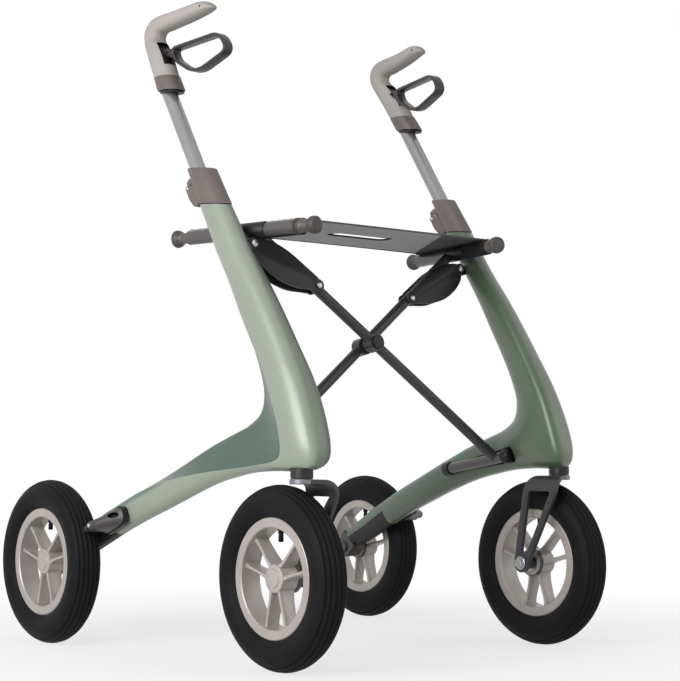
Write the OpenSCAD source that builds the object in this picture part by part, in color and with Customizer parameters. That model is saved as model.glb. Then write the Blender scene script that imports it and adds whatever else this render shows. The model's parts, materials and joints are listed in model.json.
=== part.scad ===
// All terrain rollator: two side frames on a folding cross brace, with a sling seat,
// telescopic handles, loop brakes and four large wheels.
// Front is -Y, up is +Z, the floor is z = 0, and the walker's left side is +X.

/* [Wheels] */
// Outer diameter of each tyre
tyre_d = 254; // [250:1:258]
// Width of each tyre
tyre_w = 50; // [46:1:52]
// Thickness of the tyre wall
tyre_wall = 5; // [4:0.5:7]
// Depth of the grooves that run round the tread
groove_depth = 1.6; // [0.8:0.1:2]
// Number of grooves round the tread
groove_count = 6; // [4:1:8]
// Height of the tyre's side over the rim flange
tyre_side = 44; // [42:0.5:47]
// Width over the rim flanges
rim_w = 34; // [32:1:36]
// Thickness of each rim flange
flange_t = 3; // [2:0.5:4]
// Height of the rim flanges over the tyre seat
flange_h = 10; // [8:0.5:12]
// Thickness of the rim barrel under the tyre seat
barrel_t = 4; // [3:0.5:6]
// Number of twin spokes
spoke_pairs = 3; // [3:1:4]
// Thickness of one spoke blade, seen from the side
spoke_t = 5.5; // [4:0.5:8]
// Depth of a spoke blade along the axle, at the rim
spoke_depth = 20; // [14:1:26]
// Half angle between the two blades of a twin spoke, at the rim
spoke_half_angle = 18; // [14:1:20]
// Diameter of the wheel hub
hub_d = 40; // [36:1:44]
// How far the hub reaches inboard of the wheel's middle
hub_in = 22; // [20:1:26]
// How far the hub reaches outboard of the wheel's middle
hub_out = 13; // [12:1:16]
// Diameter of the round hub cap
hub_cap_d = 26; // [22:1:30]
// Height of the hub cap over the hub face
hub_cap_h = 2; // [1:0.5:4]
// Outer diameter of the wheel bearings
bearing_d = 28; // [26:1:30]
// Width of the wheel bearings
bearing_w = 8; // [6:0.5:9]
// Diameter of the wheel axles
axle_d = 12; // [10:0.5:14]
// Diameter of the valve stem
valve_d = 8; // [6:0.5:9]
// Length of the valve stem
valve_len = 20; // [14:1:26]

/* [Chassis] */
// Distance between the front and rear wheel axles
wheelbase = 502; // [490:1:520]
// Height of the frame's top over the foot of its rear arm
frame_rise = 533; // [510:1:560]
// Depth of the rear arm's foot below the top of the tyres
arm_drop = 127; // [122:1:132]
// How far the middle of the uprights lies outboard of the brace's lower pivots
pivot_in = 15.5; // [14:0.1:18]
// How far the rear end of the arm stands outboard of the upright
arm_flare = 39; // [34:1:42]
// Greatest thickness of the frame, across the rollator
frame_thick = 44; // [42:1:46]
// Gap between the arm's end plug and the wheel hub, along the axle
axle_shoulder = 4; // [3:0.5:6]
// Diameter of the boss that carries the rear axle
plug_boss_d = 36; // [32:1:40]
// Diameter of the axle's head and shoulder
axle_head_d = 20; // [18:1:22]
// Thickness of the axle's head
axle_head_t = 5; // [3:0.5:7]

/* [Casters] */
// How far the front axle trails behind the steering axis
trail = 43; // [38:1:46]
// Sideways step of the front wheel from the steering axis
caster_step = 2; // [0:0.5:4]
// Diameter of the steering housing
housing_d = 31; // [30:0.5:34]
// Length of the steering housing
housing_len = 46; // [42:1:52]
// Diameter of the steering stem
stem_d = 12; // [10:0.5:13]
// Outer diameter of the steering bearings
steer_bearing_d = 24; // [22:0.5:25]
// Width of the steering bearings
steer_bearing_w = 8; // [6:0.5:9]
// Gap between the tyre's top and the fork crown
crown_gap = 3.5; // [2.5:0.5:6]
// Thickness of the fork crown
crown_t = 6; // [5:0.5:7]
// Radius of the fork crown round the stem
crown_r = 20; // [18:1:22]
// Gap between the fork crown and the steering housing
steer_gap = 1; // [0.6:0.1:1.5]
// Thickness of the fork blade beside the wheel
blade_t = 6; // [5:0.5:7]
// Distance from the wheel's middle to the fork blade
blade_off = 37; // [35:1:40]
// Width of the fork blade at its top
blade_top_w = 74; // [66:1:80]
// Width of each leg of the fork blade
blade_leg_w = 11; // [9:1:14]
// Radius of the fork blade's end round the axle
blade_end_r = 15; // [14:1:18]

/* [Handles] */
// Outer diameter of the handle tubes
tube_d = 23; // [22:0.1:24]
// Wall of the handle tubes
tube_wall = 2; // [1.5:0.1:3]
// Backward lean of the handle tubes, in degrees
tube_lean = 32.7; // [31:0.1:34]
// Inward lean of the handle tubes, in degrees
tube_in = 1.2; // [0.6:0.1:2]
// How far the tube's axis lies behind the middle of the upright's top
tube_back = 6.5; // [5:0.1:8]
// How far the tube's axis lies outboard of the middle of the upright's top
tube_out = 2; // [1:0.1:3]
// Length of tube from the upright's top up to the grip
tube_up = 258; // [240:1:275]
// Length of tube inside the upright
tube_down = 58; // [50:1:70]
// Length of tube inside the grip
tube_in_grip = 20; // [14:1:24]
// Clear depth of the bore in the upright
bore_depth = 178; // [172:1:190]
// Height of the clamp collar over the upright's top
collar_rise = 53; // [48:1:58]
// Rim by which the collar stands proud of the upright
collar_proud = 0.6; // [0.4:0.1:1]
// Fore and aft length of the grip
grip_reach = 140; // [132:1:150]
// Height of the grip over its lower end
grip_rise = 110; // [104:1:116]
// How far the grip turns inward
grip_turn = 30; // [24:1:34]
// Width of the grip
grip_w = 36; // [33:1:39]
// Length of the brake loop
loop_len = 134; // [126:1:138]
// Height of the brake loop
loop_h = 57; // [52:1:60]
// Width of the loop's band
loop_band_w = 15; // [12:1:17]
// Thickness of the loop's band
loop_band_t = 5; // [4:0.5:6]
// Inward turn of the brake loop, in degrees
loop_toe = 7.5; // [5:0.5:9]
// Diameter of the small hinge pins
pin_d = 5; // [4:0.5:6]
// Length of the clamp lever
clamp_len = 40; // [36:1:44]
// Width of the clamp lever
clamp_w = 16; // [14:1:18]
// Thickness of the clamp lever
clamp_t = 7; // [6:0.5:8]

/* [Folding] */
// Height of the cross brace's middle pivot over the top of the tyres
brace_up = 206.7; // [203:0.1:211]
// Fore and aft place of the cross brace's middle pivot
brace_y = -136; // [-140:0.5:-132]
// Tilt of the folding axis: its front end points up, in degrees
brace_tilt = 9.1; // [8:0.1:10]
// Sideways distance of the lower pivots from the middle
brace_half = 231.5; // [229:0.1:233]
// Drop of the lower pivots below the middle pivot
brace_drop = 177.8; // [174:0.1:181]
// How far the seat rails lie inboard of the uprights
rail_in = 37.6; // [34:0.1:42]
// Fore and aft distance between the two braces
brace_gap = 28; // [27:0.5:30]
// Outer diameter of the brace tubes
brace_d = 16; // [15:0.5:17]
// Wall of the brace tubes
brace_wall = 1.8; // [1.2:0.1:2.5]
// Diameter of the boss at the middle pivot
boss_d = 27; // [24:1:30]
// Diameter of the middle pivot bolt
bolt_d = 8; // [7:0.5:9]
// Thickness of the bolt's heads
bolt_head_t = 3; // [2:0.5:4]
// Diameter of the lower hinge barrels
barrel_d = 17; // [16:0.5:18]
// Diameter of the lower hinge shafts
shaft_d = 8; // [7:0.5:9]
// Length of the hinge from block to block, over both blocks
hinge_len = 151; // [145:1:156]
// How far the hinge's middle lies behind the middle pivot
hinge_back = 28.9; // [27:0.1:31]
// Length of each hinge block
block_len = 15; // [13:0.5:17]
// Height of each hinge block
block_h = 22; // [20:1:24]
// How far the link's pivot lies inboard of the upright
link_in = 28; // [26:0.5:30]
// Height of the link's pivot over the middle pivot
link_rise = 136; // [134:0.5:138]
// Distance along the brace from the middle pivot to the link's other end
link_on_brace = 133; // [128:1:138]
// Thickness of each link plate
link_t = 3; // [2:0.5:3]
// Radius of the link's ends
link_end_r = 9.5; // [8.5:0.5:10]
// Diameter of the link's pivot pin
link_pin_d = 6; // [5:0.5:7]
// Thickness of the lug that carries the link
lug_t = 12; // [10:0.5:14]

/* [Seat] */
// Diameter of the seat rails
rail_d = 21.5; // [20:0.5:22]
// Wall of the seat rails
rail_wall = 1.8; // [1.2:0.1:2.5]
// Length of the rail in front of the brace
rail_front = 93; // [86:1:98]
// Length of the rail behind the brace
rail_back = 114; // [106:1:118]
// Outward turn of the rails towards the rear, in degrees
rail_toe = 12.9; // [11:0.1:14]
// Length of the front bag knob beyond the rail
knob_len = 38; // [34:1:42]
// Length of the rear bag knob beyond the rail
knob_back_len = 24; // [20:1:28]
// Diameter of a bag knob's cap
knob_d = 27; // [24:1:28]
// Depth of a bag knob's stem inside the rail
knob_stem = 18; // [12:1:24]
// Thickness of the seat cloth
cloth_t = 2.4; // [1.6:0.1:3]
// Length of the hand slot in the seat
slot_len = 100; // [80:1:120]
// Width of the hand slot in the seat
slot_w = 24; // [18:1:28]

/* [Brakes] */
// Length of the brake body along the arm
brake_len = 64; // [60:1:68]
// Height of the brake body
brake_h = 30; // [28:1:33]
// How far the brake body reaches over the tyre's edge, beside the tyre
brake_lap = 4; // [2:0.5:6]
// How far the brake body lies below the middle of the arm
brake_low = 5; // [3:0.5:7]
// Thickness of the brake body, from the arm outward
brake_w = 8; // [7:0.5:9]
// Gap between the brake bar and the tyre
shoe_gap = 3; // [2:0.5:4]
// Diameter of the brake bar
shoe_d = 10; // [8:0.5:12]
// Length of the brake bar
shoe_len = 40; // [36:1:44]
// Distance of the shoe's pin in front of the middle of the brake body
shoe_pin_fore = 3.8; // [2:0.2:6]
// Height of the shoe's pin above the middle of the brake body
shoe_pin_up = 6.5; // [5:0.5:8]
// Thickness of the shoe's flat side round the pin
shoe_side_t = 5; // [4:0.5:6]
// Diameter of the shoe's round tip
tip_d = 14; // [12:0.5:16]
// Gap between the shoe's tip and the tyre
tip_gap = 15; // [13:0.5:17]
// How far the shoe's tip stands out from the brake body
tip_out = 42; // [38:1:46]
// Place of the brake bar round the tyre, in degrees below the middle of the brake body
shoe_angle = 1.7; // [0:0.1:4]

/* [Hidden] */
$fn = 64;
// Gap all round a running fit
fit = 0.05;
// Gap between pieces that pass each other
pass = 0.5;
// Gap between a soft piece and what carries it
rest_gap = 0.3;
// Overrun of cuts
over = 4;
// Share of a circle's width at which the superellipse sections turn, as a power
section_power = 0.87;
// Number of points round a frame section
frame_sides = 20;
// Number of rings between two frame stations
frame_steps = 2;
// Number of points round a grip section
grip_sides = 18;
// Number of steps round a rounded corner
corner_steps = 6;
// Share of an edge that a rounded corner may take
corner_limit_share = .45;
// Number of steps across half a tread groove
groove_steps = 4;

axle_z = tyre_d / 2;
front_y = -wheelbase / 2;
rear_y = wheelbase / 2;
tyre_c = (tyre_d - tyre_w) / 2;
rim_r = tyre_d / 2 - tyre_side;
tyre_seat_r = rim_r - flange_h;
rim_in_r = tyre_seat_r - barrel_t;
tube_r = tube_d / 2;
rail_r = rail_d / 2;
brace_r = brace_d / 2;
barrel_r = barrel_d / 2;
brace_z = tyre_d + brace_up;
brace_angle = atan2(brace_drop, brace_half);
frame_x = brace_half + pivot_in;
link_x = frame_x - link_in;
brace_reach = (frame_x - rail_in) / cos(brace_angle);

// Frame stations from the top of the upright to the rear end of the arm. Each row gives
// the rear or upper edge (y, z, x), the front or lower edge (y, z, x) and the thickness.
// y follows the wheelbase, z the frame's rise, x the arm's flare.
frame_shares = [
  [ .392, 1.002,  .06,   .283,  .994, -.10,  .73],
  [ .309,  .874,  .09,   .195,  .872, -.13,  .77],
  [ .239,  .775,  .10,   .116,  .775, -.12,  .80],
  [ .185,  .689,  .11,   .050,  .687, -.11,  .82],
  [ .133,  .606,  .13,  -.012,  .598, -.10,  .84],
  [ .094,  .535,  .16,  -.064,  .520, -.08,  .89],
  [ .074,  .482,  .19,  -.100,  .452, -.05,  .93],
  [ .076,  .443,  .21,  -.127,  .388, -.02,  .98],
  [ .092,  .417,  .23,  -.143,  .332,  .00, 1.00],
  [ .118,  .400,  .25,  -.139,  .295,  .02, 1.00],
  [ .149,  .386,  .26,  -.114,  .276,  .07, 1.00],
  [ .181,  .376,  .28,  -.058,  .272,  .14, 1.00],
  [ .215,  .366,  .29,   .022,  .272,  .24,  .98],
  [ .257,  .353,  .30,   .110,  .267,  .30,  .93],
  [ .305,  .338,  .31,   .197,  .254,  .33,  .89],
  [ .369,  .315,  .33,   .291,  .235,  .34,  .84],
  [ .452,  .283,  .35,   .400,  .203,  .37,  .82],
  [ .548,  .246,  .42,   .508,  .167,  .45,  .80],
  [ .661,  .205,  .57,   .624,  .128,  .60,  .77],
  [ .753,  .169,  .70,   .715,  .094,  .72,  .73],
  [ .839,  .133,  .82,   .801,  .058,  .83,  .68],
  [ .914,  .098,  .93,   .870,  .029,  .93,  .64],
  [1.000,  .056, 1.00,   .945,  .006,  .98,  .59]];

// Grip stations from its lower end round to its tip, as the frame's: y follows the grip's
// reach, z its rise, x its inward turn, thickness its width.
grip_shares = [
  [ .112,  .000,  .05,  -.188,  .000,  .05,  .97],
  [ .226,  .200,  .13,  -.066,  .264,  .13,  .94],
  [ .334,  .400,  .23,   .048,  .464,  .23,  .92],
  [ .412,  .582,  .32,   .134,  .600,  .32,  .89],
  [ .412,  .745,  .37,   .155,  .682,  .37,  .89],
  [ .326,  .882,  .41,   .105,  .718,  .41,  .89],
  [ .184,  .941,  .46,   .026,  .727,  .46,  .92],
  [-.016,  .955,  .54,  -.088,  .727,  .54,  .94],
  [-.188,  .959,  .64,  -.216,  .727,  .64,  .97],
  [-.345,  .977,  .76,  -.366,  .741,  .76, 1.00],
  [-.488,  .995,  .87,  -.516,  .764,  .87,  .97],
  [-.602,  .973,  .93,  -.624,  .791,  .93,  .80],
  [-.674,  .905,  .98,  -.681,  .827,  .98,  .45]];
// Lower end of the sleeve under the grip
sleeve_shares = [.019, -.209, -.03, -.324, -.255, -.03, 1.00];
// Corners of the brake loop, as shares of its length and height from its pivot
loop_shares = [[-.055, .05], [-.806, .325], [-1.037, -.298], [-.478, -.737], [-.12, -.26]];
// Share of the loop's height by which its corners are rounded
loop_round_share = .36;
// Share of the arm's flare at which the steering axis lies outboard of the upright
steer_share = .14;
// Place of the loop's pivot from the grip's lower end: inward, back and up
loop_pivot_shares = [.36, -.02, .34];

// Sections of the lofted pieces
function frame_point(y, z, x) =
  [frame_x + x * arm_flare, front_y + y * wheelbase, tyre_d - arm_drop + z * frame_rise];
function frame_station(r) =
  [frame_point(r[0], r[1], r[2]), frame_point(r[3], r[4], r[5]), r[6] * frame_thick / 2];
function mix(a, b, t) = a + (b - a) * t;
function curve(a, b, c, d, t) =
  (2 * b + (c - a) * t + (2 * a - 5 * b + 4 * c - d) * t * t + (3 * b - a - 3 * c + d) * t * t * t) / 2;
function smooth(rows, steps) = [
  for (i = [0 : len(rows) - 2]) for (k = [0 : steps - 1])
    curve(rows[max(i - 1, 0)], rows[i], rows[i + 1], rows[min(i + 2, len(rows) - 1)], k / steps),
  rows[len(rows) - 1]];
function bend_power(v, p) = sign(v) * pow(abs(v), p);
function section(s, sides, grow = 0) =
  let (m = (s[0] + s[1]) / 2, h = (s[0] - s[1]) / 2, g = 1 + grow / norm(h))
  [for (j = [0 : sides - 1])
    let (
      c = bend_power(cos(360 * j / sides), section_power),
      n = bend_power(sin(360 * j / sides), section_power))
    m + h * g * c + [(s[2] + grow) * n, 0, 0]];
module loft(rings) {
  n = len(rings[0]);
  last = len(rings) - 1;
  polyhedron(
    points = [for (r = rings) each r],
    faces = concat(
      [[for (j = [0 : n - 1]) j]],
      [[for (j = [n - 1 : -1 : 0]) last * n + j]],
      [for (i = [0 : last - 1]) for (j = [0 : n - 1]) [i * n + j, (i + 1) * n + j, i * n + (j + 1) % n]],
      [for (i = [0 : last - 1]) for (j = [0 : n - 1])
        [(i + 1) * n + j, (i + 1) * n + (j + 1) % n, i * n + (j + 1) % n]]));
}

// Flat outlines
function unit(v) = v / norm(v);
function ring_at(p, i) = p[(i + len(p)) % len(p)];
function rounded(p, r) = [
  for (i = [0 : len(p) - 1])
    let (
      a = ring_at(p, i - 1) - p[i], b = ring_at(p, i + 1) - p[i],
      d = min(r, corner_limit_share * min(norm(a), norm(b))))
    for (k = [0 : corner_steps])
      let (t = k / corner_steps)
      p[i] + unit(a) * d * (1 - t) * (1 - t) + unit(b) * d * t * t];
function inset(p, d) = [
  for (i = [0 : len(p) - 1])
    let (
      a = unit(p[i] - ring_at(p, i - 1)), b = unit(ring_at(p, i + 1) - p[i]),
      na = [-a[1], a[0]], nb = [-b[1], b[0]])
    p[i] + (na + nb) * d / (1 + na * nb)];

// Places
top_station = frame_station(frame_shares[0]);
end_station = frame_station(frame_shares[len(frame_shares) - 1]);
upright_top = (top_station[0] + top_station[1]) / 2 + [tube_out, tube_back, 0];
arm_end_x = end_station[0][0];
arm_end_half = end_station[2];
plug_out_x = arm_end_x + arm_end_half;
rear_x = plug_out_x + axle_shoulder + hub_in;
steer_x = frame_x + arm_flare * steer_share;
steer_y = front_y - trail;
front_x = steer_x + caster_step;
// Height of the tyre under the rear edge of the fork crown
tyre_under_crown = axle_z + sqrt(axle_z * axle_z - (trail - crown_r) * (trail - crown_r));
crown_z = tyre_under_crown + crown_gap;
housing_z = crown_z + crown_t + steer_gap;
housing_top = housing_z + housing_len;
tube_axis = [-sin(tube_in) * cos(tube_lean), sin(tube_lean), cos(tube_in) * cos(tube_lean)];
grip_foot = upright_top + tube_axis * tube_up;
loop_pivot = grip_foot + [
  -loop_pivot_shares[0] * grip_turn,
  loop_pivot_shares[1] * grip_reach,
  loop_pivot_shares[2] * grip_rise];
rail_mid = [
  brace_reach * cos(brace_angle),
  brace_y + brace_reach * sin(brace_angle) * sin(brace_tilt),
  brace_z + brace_reach * sin(brace_angle) * cos(brace_tilt)];
link_end = [link_on_brace * cos(brace_angle), link_on_brace * sin(brace_angle)];
link_len = norm([link_x, link_rise] - link_end);
link_angle = atan2(link_end[1] - link_rise, link_x - link_end[0]);

// Places shared by pieces that fit each other
module at_tube() translate(upright_top) rotate([-tube_lean, -tube_in, 0]) children();
module at_brace() translate([0, brace_y, brace_z]) rotate([-brace_tilt, 0, 0]) children();
module at_hinge() at_brace() translate([brace_half, hinge_back, -brace_drop]) rotate([90, 0, 0]) children();
module at_rail() translate(rail_mid) rotate([0, 0, -rail_toe]) children();
module at_loop() translate(loop_pivot) rotate([0, 0, -loop_toe]) children();
module at_steer(z) translate([steer_x, steer_y, z]) children();
module along_x(x, y, z) translate([x, y, z]) rotate([0, 90, 0]) children();
module side_prism(x, t) translate([x, 0, 0]) rotate([90, 0, 90]) linear_extrude(t) children();
module mirrored(left) mirror([left ? 0 : 1, 0, 0]) children();
// Distance of a link from the middle plane of the braces
function link_y(left) = (left ? 1 : -1) * brace_gap / 2;

// Solids that one piece fills and another leaves room for
module tube_solid() {
  at_tube() translate([0, 0, -tube_down]) cylinder(d = tube_d, h = tube_down + tube_up + tube_in_grip);
}
module rail_solid() {
  at_rail() translate([0, -rail_front, 0]) rotate([-90, 0, 0])
    cylinder(d = rail_d, h = rail_front + rail_back);
}
module hinge_blocks() {
  at_hinge() for (e = [-1, 1]) translate([0, 0, e * (hinge_len - block_len) / 2])
    cube([block_h, block_h, block_len], center = true);
}
// Wall of the lug round the link's pin
lug_wall = 4;
lug_r = link_pin_d / 2 + lug_wall;
// Reach of the lug into the upright
lug_reach = link_end_r + lug_r;
module link_lug(left) {
  at_brace() translate([link_x, link_y(left), link_rise]) {
    rotate([90, 0, 0]) cylinder(r = lug_r, h = lug_t, center = true);
    translate([0, -lug_t / 2, -lug_r]) cube([lug_reach, lug_t, 2 * lug_r]);
  }
}
// Straight part of the rear arm: the brake sits on it, at its own distance from the axle
arm_a = frame_station(frame_shares[18]);
arm_b = frame_station(frame_shares[19]);
arm_from = (arm_a[0] + arm_a[1]) / 2;
arm_dir = unit((arm_b[0] + arm_b[1]) / 2 - arm_from);
arm_slope = atan2(arm_dir[2], arm_dir[1]);
arm_level = norm([arm_dir[1], arm_dir[2]]);
axle_from = [rear_y - arm_from[1], axle_z - arm_from[2]];
axle_along = (axle_from[0] * arm_dir[1] + axle_from[1] * arm_dir[2]) / arm_level;
axle_aside = (axle_from[0] * arm_dir[2] - axle_from[1] * arm_dir[1]) / arm_level;
brake_dist = axle_z - brake_lap + brake_len / 2;
brake_along = axle_along - sqrt(brake_dist * brake_dist - axle_aside * axle_aside);
arm_mid = arm_from + arm_dir * brake_along / arm_level;
// Depth of the brake body's seat in the arm
brake_sink = 2;
brake_seat = arm_mid[0] + (arm_a[2] + arm_b[2]) / 2 - brake_sink;
// Middle of the brake body, the shoe's pin in it, and the shoe's bar and tip round the tyre
arm_fore = [cos(arm_slope), sin(arm_slope)];
arm_rise = [-sin(arm_slope), cos(arm_slope)];
brake_mid = [arm_mid[1], arm_mid[2]] - brake_low * arm_rise;
shoe_pin = brake_mid - shoe_pin_fore * arm_fore + shoe_pin_up * arm_rise;
shoe_pin_y = shoe_pin[0];
shoe_pin_z = shoe_pin[1];
shoe_dir = atan2(brake_mid[1] - axle_z, rear_y - brake_mid[0]) - shoe_angle;
shoe_ring = axle_z + shoe_gap + shoe_d / 2;
shoe_y = rear_y - shoe_ring * cos(shoe_dir);
shoe_z = axle_z + shoe_ring * sin(shoe_dir);
tip_ring = axle_z + tip_gap + tip_d / 2;
tip_y = rear_y - tip_ring * cos(shoe_dir);
tip_z = axle_z + tip_ring * sin(shoe_dir);
// Share of the brake body's height by which its ends are rounded
brake_round_share = .48;
module brake_outline(inset) {
  h = [brake_len / 2 - inset, brake_h / 2 - inset];
  corners = [[-h[0], -h[1]], [h[0], -h[1]], [h[0], h[1]], [-h[0], h[1]]];
  translate(brake_mid) rotate(arm_slope) polygon(rounded(corners, brake_h * brake_round_share));
}
module brake_solid() side_prism(brake_seat, brake_w) brake_outline(0);
// Width of the loop's mount, and its reach in front of, behind, below and above the pin
mount_w = 18;
mount_front = 3;
mount_back = 10;
mount_low = 10;
mount_high = 20;
module mount_solid() {
  at_loop() rotate([-tube_lean, 0, 0]) translate([-mount_w / 2, -mount_front, -mount_low])
    cube([mount_w, mount_front + mount_back, mount_low + mount_high]);
}
// Gap between a hinge barrel and its recess in the frame
recess_gap = 2.5;

// Side frame: an upright, bored for the handle tube, that turns at the nose into the rear arm
module frame(left) {
  color("#9aa68f") mirrored(left) difference() {
    loft([for (r = smooth(frame_shares, frame_steps)) section(frame_station(r), frame_sides)]);
    at_tube() translate([0, 0, -bore_depth]) cylinder(d = tube_d + 2 * pass, h = bore_depth + collar_rise);
    at_steer(housing_z - over) cylinder(d = housing_d, h = housing_len + over);
    hinge_blocks();
    at_hinge() cylinder(d = barrel_d + 2 * recess_gap, h = hinge_len - 2 * block_len, center = true);
    link_lug(left);
    brake_solid();
    plug_solid();
  }
}

// Collar that guides and clamps the handle tube
collar_spread = (top_station[0] - top_station[1]) / 2;
collar_deep = collar_spread[1] * cos(tube_lean) - collar_spread[2] * sin(tube_lean);
collar_half = top_station[2] + collar_proud;
collar_points = [for (j = [0 : frame_sides - 1])
  let (
    c = bend_power(cos(360 * j / frame_sides), section_power),
    n = bend_power(sin(360 * j / frame_sides), section_power))
  [collar_spread[0] * c + collar_half * n - tube_out,
    (collar_deep + collar_proud) * c - tube_back * cos(tube_lean)]];
clamp_seat = tube_r + 2 * clamp_t;
// Radius of the lever's ear round its pin
clamp_ear = 5.5;
clamp_pin_y = clamp_seat - clamp_ear;
// Place of the lever's pin, as a share of the collar's rise
clamp_pin_share = 1.018;
clamp_pin_z = collar_rise * clamp_pin_share;
// Width of the lever's tongue in the collar's slot
tongue_w = clamp_w / 2;
collar_tilt = atan2(collar_spread[2], collar_spread[1]);
module clamp_collar(left) {
  color("#857a75") mirrored(left) difference() {
    at_tube() union() {
      translate([0, 0, -2 * collar_rise]) linear_extrude(4 * collar_rise) difference() {
        polygon(collar_points);
        circle(d = tube_d + 2 * fit);
      }
      side_prism(-clamp_w / 2, clamp_w) {
        translate([tube_r + tube_wall / 2, clamp_pin_z + clamp_ear - clamp_len])
          square([clamp_seat - tube_r - tube_wall / 2, clamp_len - clamp_ear]);
        translate([clamp_pin_y, clamp_pin_z]) circle(r = clamp_ear);
      }
    }
    translate((top_station[0] + top_station[1]) / 2) rotate([collar_tilt, 0, 0]) {
      translate([0, 0, -4 * collar_rise]) cube(8 * collar_rise, center = true);
      translate([0, 0, 5 * collar_rise]) cube(8 * collar_rise, center = true);
    }
    clamp_slot();
    at_tube() translate([0, clamp_pin_y, clamp_pin_z]) rotate([0, 90, 0])
      cylinder(d = pin_d, h = clamp_w + 2 * over, center = true);
  }
}
module clamp_slot() {
  at_tube() translate([-tongue_w / 2 - pass, clamp_pin_y - clamp_ear - pass, clamp_pin_z - clamp_ear - pass])
    cube([tongue_w + 2 * pass, clamp_seat, clamp_seat - clamp_pin_y + clamp_ear + clamp_t + 3 * pass]);
}

// Lever on the back of the collar: its tip is thinner than its root
clamp_tip_share = .6;
clamp_taper_share = .4;
clamp_round_share = .25;
clamp_face = clamp_seat - clamp_pin_y + pass;
clamp_points = [
  [clamp_face, 0],
  [clamp_face, -clamp_len],
  [clamp_face + clamp_t * clamp_tip_share, -clamp_len],
  [clamp_face + clamp_t, -clamp_len * clamp_taper_share],
  [clamp_face + clamp_t, 0]];
module clamp_lever(left) {
  color("#6a605b") mirrored(left) at_tube() translate([0, clamp_pin_y, clamp_pin_z]) difference() {
    union() {
      rotate([0, 90, 0]) cylinder(r = clamp_ear, h = tongue_w, center = true);
      translate([-tongue_w / 2, 0, -clamp_ear]) cube([tongue_w, clamp_face + clamp_t / 2, clamp_ear]);
      side_prism(-clamp_w / 2, clamp_w) polygon(rounded(clamp_points, clamp_t * clamp_round_share));
    }
    rotate([0, 90, 0]) cylinder(d = pin_d + 2 * fit, h = clamp_w + over, center = true);
  }
}

// Hinge blocks of the cross brace and the lug of the link
module frame_brackets(left) {
  color("#232325") mirrored(left) {
    difference() {
      hinge_blocks();
      at_hinge() cylinder(d = shaft_d, h = hinge_len + over, center = true);
    }
    difference() {
      link_lug(left);
      at_brace() translate([link_x, link_y(left), link_rise]) rotate([90, 0, 0])
        cylinder(d = link_pin_d, h = lug_t + over, center = true);
    }
  }
}

// Steel pins and steering bearings that the frame holds
link_stack = brace_d + 2 * (pass + link_t);
// Thickness and diameter of the pins' heads
pin_head_t = 2;
pin_head_d = 11.4;
// Diameter of the head of the brake shoe's pin, and of the well in the shoe round that head
shoe_head_d = 9;
shoe_well_d = 12;
module frame_pins(left) {
  color("#b8b8ba") mirrored(left) {
    at_hinge() cylinder(d = shaft_d, h = hinge_len, center = true);
    at_brace() translate([link_x, link_y(left), link_rise]) rotate([90, 0, 0]) {
      cylinder(d = link_pin_d, h = link_stack + 2 * (rest_gap + pin_head_t), center = true);
      for (e = [-1, 1]) translate([0, 0, e * (link_stack / 2 + rest_gap + pin_head_t / 2)])
        cylinder(d = pin_head_d, h = pin_head_t, center = true);
    }
    at_tube() translate([0, clamp_pin_y, clamp_pin_z]) rotate([0, 90, 0])
      cylinder(d = pin_d, h = clamp_w, center = true);
    along_x(brake_seat + brake_w / 3, shoe_pin_y, shoe_pin_z)
      cylinder(d = pin_d, h = brake_w * 2 / 3 + pass + shoe_side_t + pin_head_t);
    along_x(brake_seat + brake_w + pass + shoe_side_t + rest_gap, shoe_pin_y, shoe_pin_z)
      cylinder(d = shoe_head_d, h = pin_head_t);
    for (z = [housing_z, housing_top - steer_bearing_w]) at_steer(z) difference() {
      cylinder(d = steer_bearing_d, h = steer_bearing_w);
      translate([0, 0, -over]) cylinder(d = stem_d + 2 * fit, h = steer_bearing_w + 2 * over);
    }
  }
}

// Round housing of the steering bearings, let into the nose
module steer_housing(left) {
  color("#4a4b50") mirrored(left) at_steer(housing_z) difference() {
    cylinder(d = housing_d, h = housing_len);
    translate([0, 0, -over]) cylinder(d = (stem_d + steer_bearing_d) / 2, h = housing_len + 2 * over);
    translate([0, 0, -over]) cylinder(d = steer_bearing_d, h = steer_bearing_w + over);
    translate([0, 0, housing_len - steer_bearing_w])
      cylinder(d = steer_bearing_d, h = steer_bearing_w + over);
  }
}

// Plug in the arm's rear end, with the boss of the rear axle
module plug_solid() {
  a = [end_station[0][1], end_station[0][2]];
  b = [end_station[1][1], end_station[1][2]];
  c = [rear_y, axle_z];
  d = unit(c - (a + b) / 2);
  n = [-d[1], d[0]] * plug_boss_d / 2;
  side_prism(plug_out_x - 2 * arm_end_half, 2 * arm_end_half) {
    polygon([a + d * rest_gap, b + d * rest_gap, c - n, c + n]);
    translate(c) circle(d = plug_boss_d);
  }
}
module arm_plug(left) {
  color("#3f3b39") mirrored(left) difference() {
    plug_solid();
    along_x(plug_out_x - 2 * arm_end_half - over, rear_y, axle_z)
      cylinder(d = axle_d, h = 2 * (arm_end_half + over));
  }
}

// Wall of the hub under its cap
hub_wall = 4;
// Gap between an axle's tip and that wall
axle_tip_gap = 1;

// Stub axle of a rear wheel
module rear_axle(left) {
  inner = plug_out_x - 2 * arm_end_half;
  color("#b8b8ba") mirrored(left) {
    along_x(inner - axle_head_t, rear_y, axle_z) cylinder(d = axle_head_d, h = axle_head_t);
    along_x(inner - axle_head_t, rear_y, axle_z)
      cylinder(d = axle_d, h = rear_x + hub_out - hub_wall - axle_tip_gap - inner + axle_head_t);
    along_x(plug_out_x, rear_y, axle_z) cylinder(d = axle_head_d, h = axle_shoulder - rest_gap);
  }
}

// Body of the wheel brake, on the outer side of the arm
module brake_body(left) {
  color("#3f3b39") mirrored(left) difference() {
    brake_solid();
    along_x(brake_seat + brake_w / 3, shoe_pin_y, shoe_pin_z) cylinder(d = pin_d, h = brake_w);
  }
}

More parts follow.
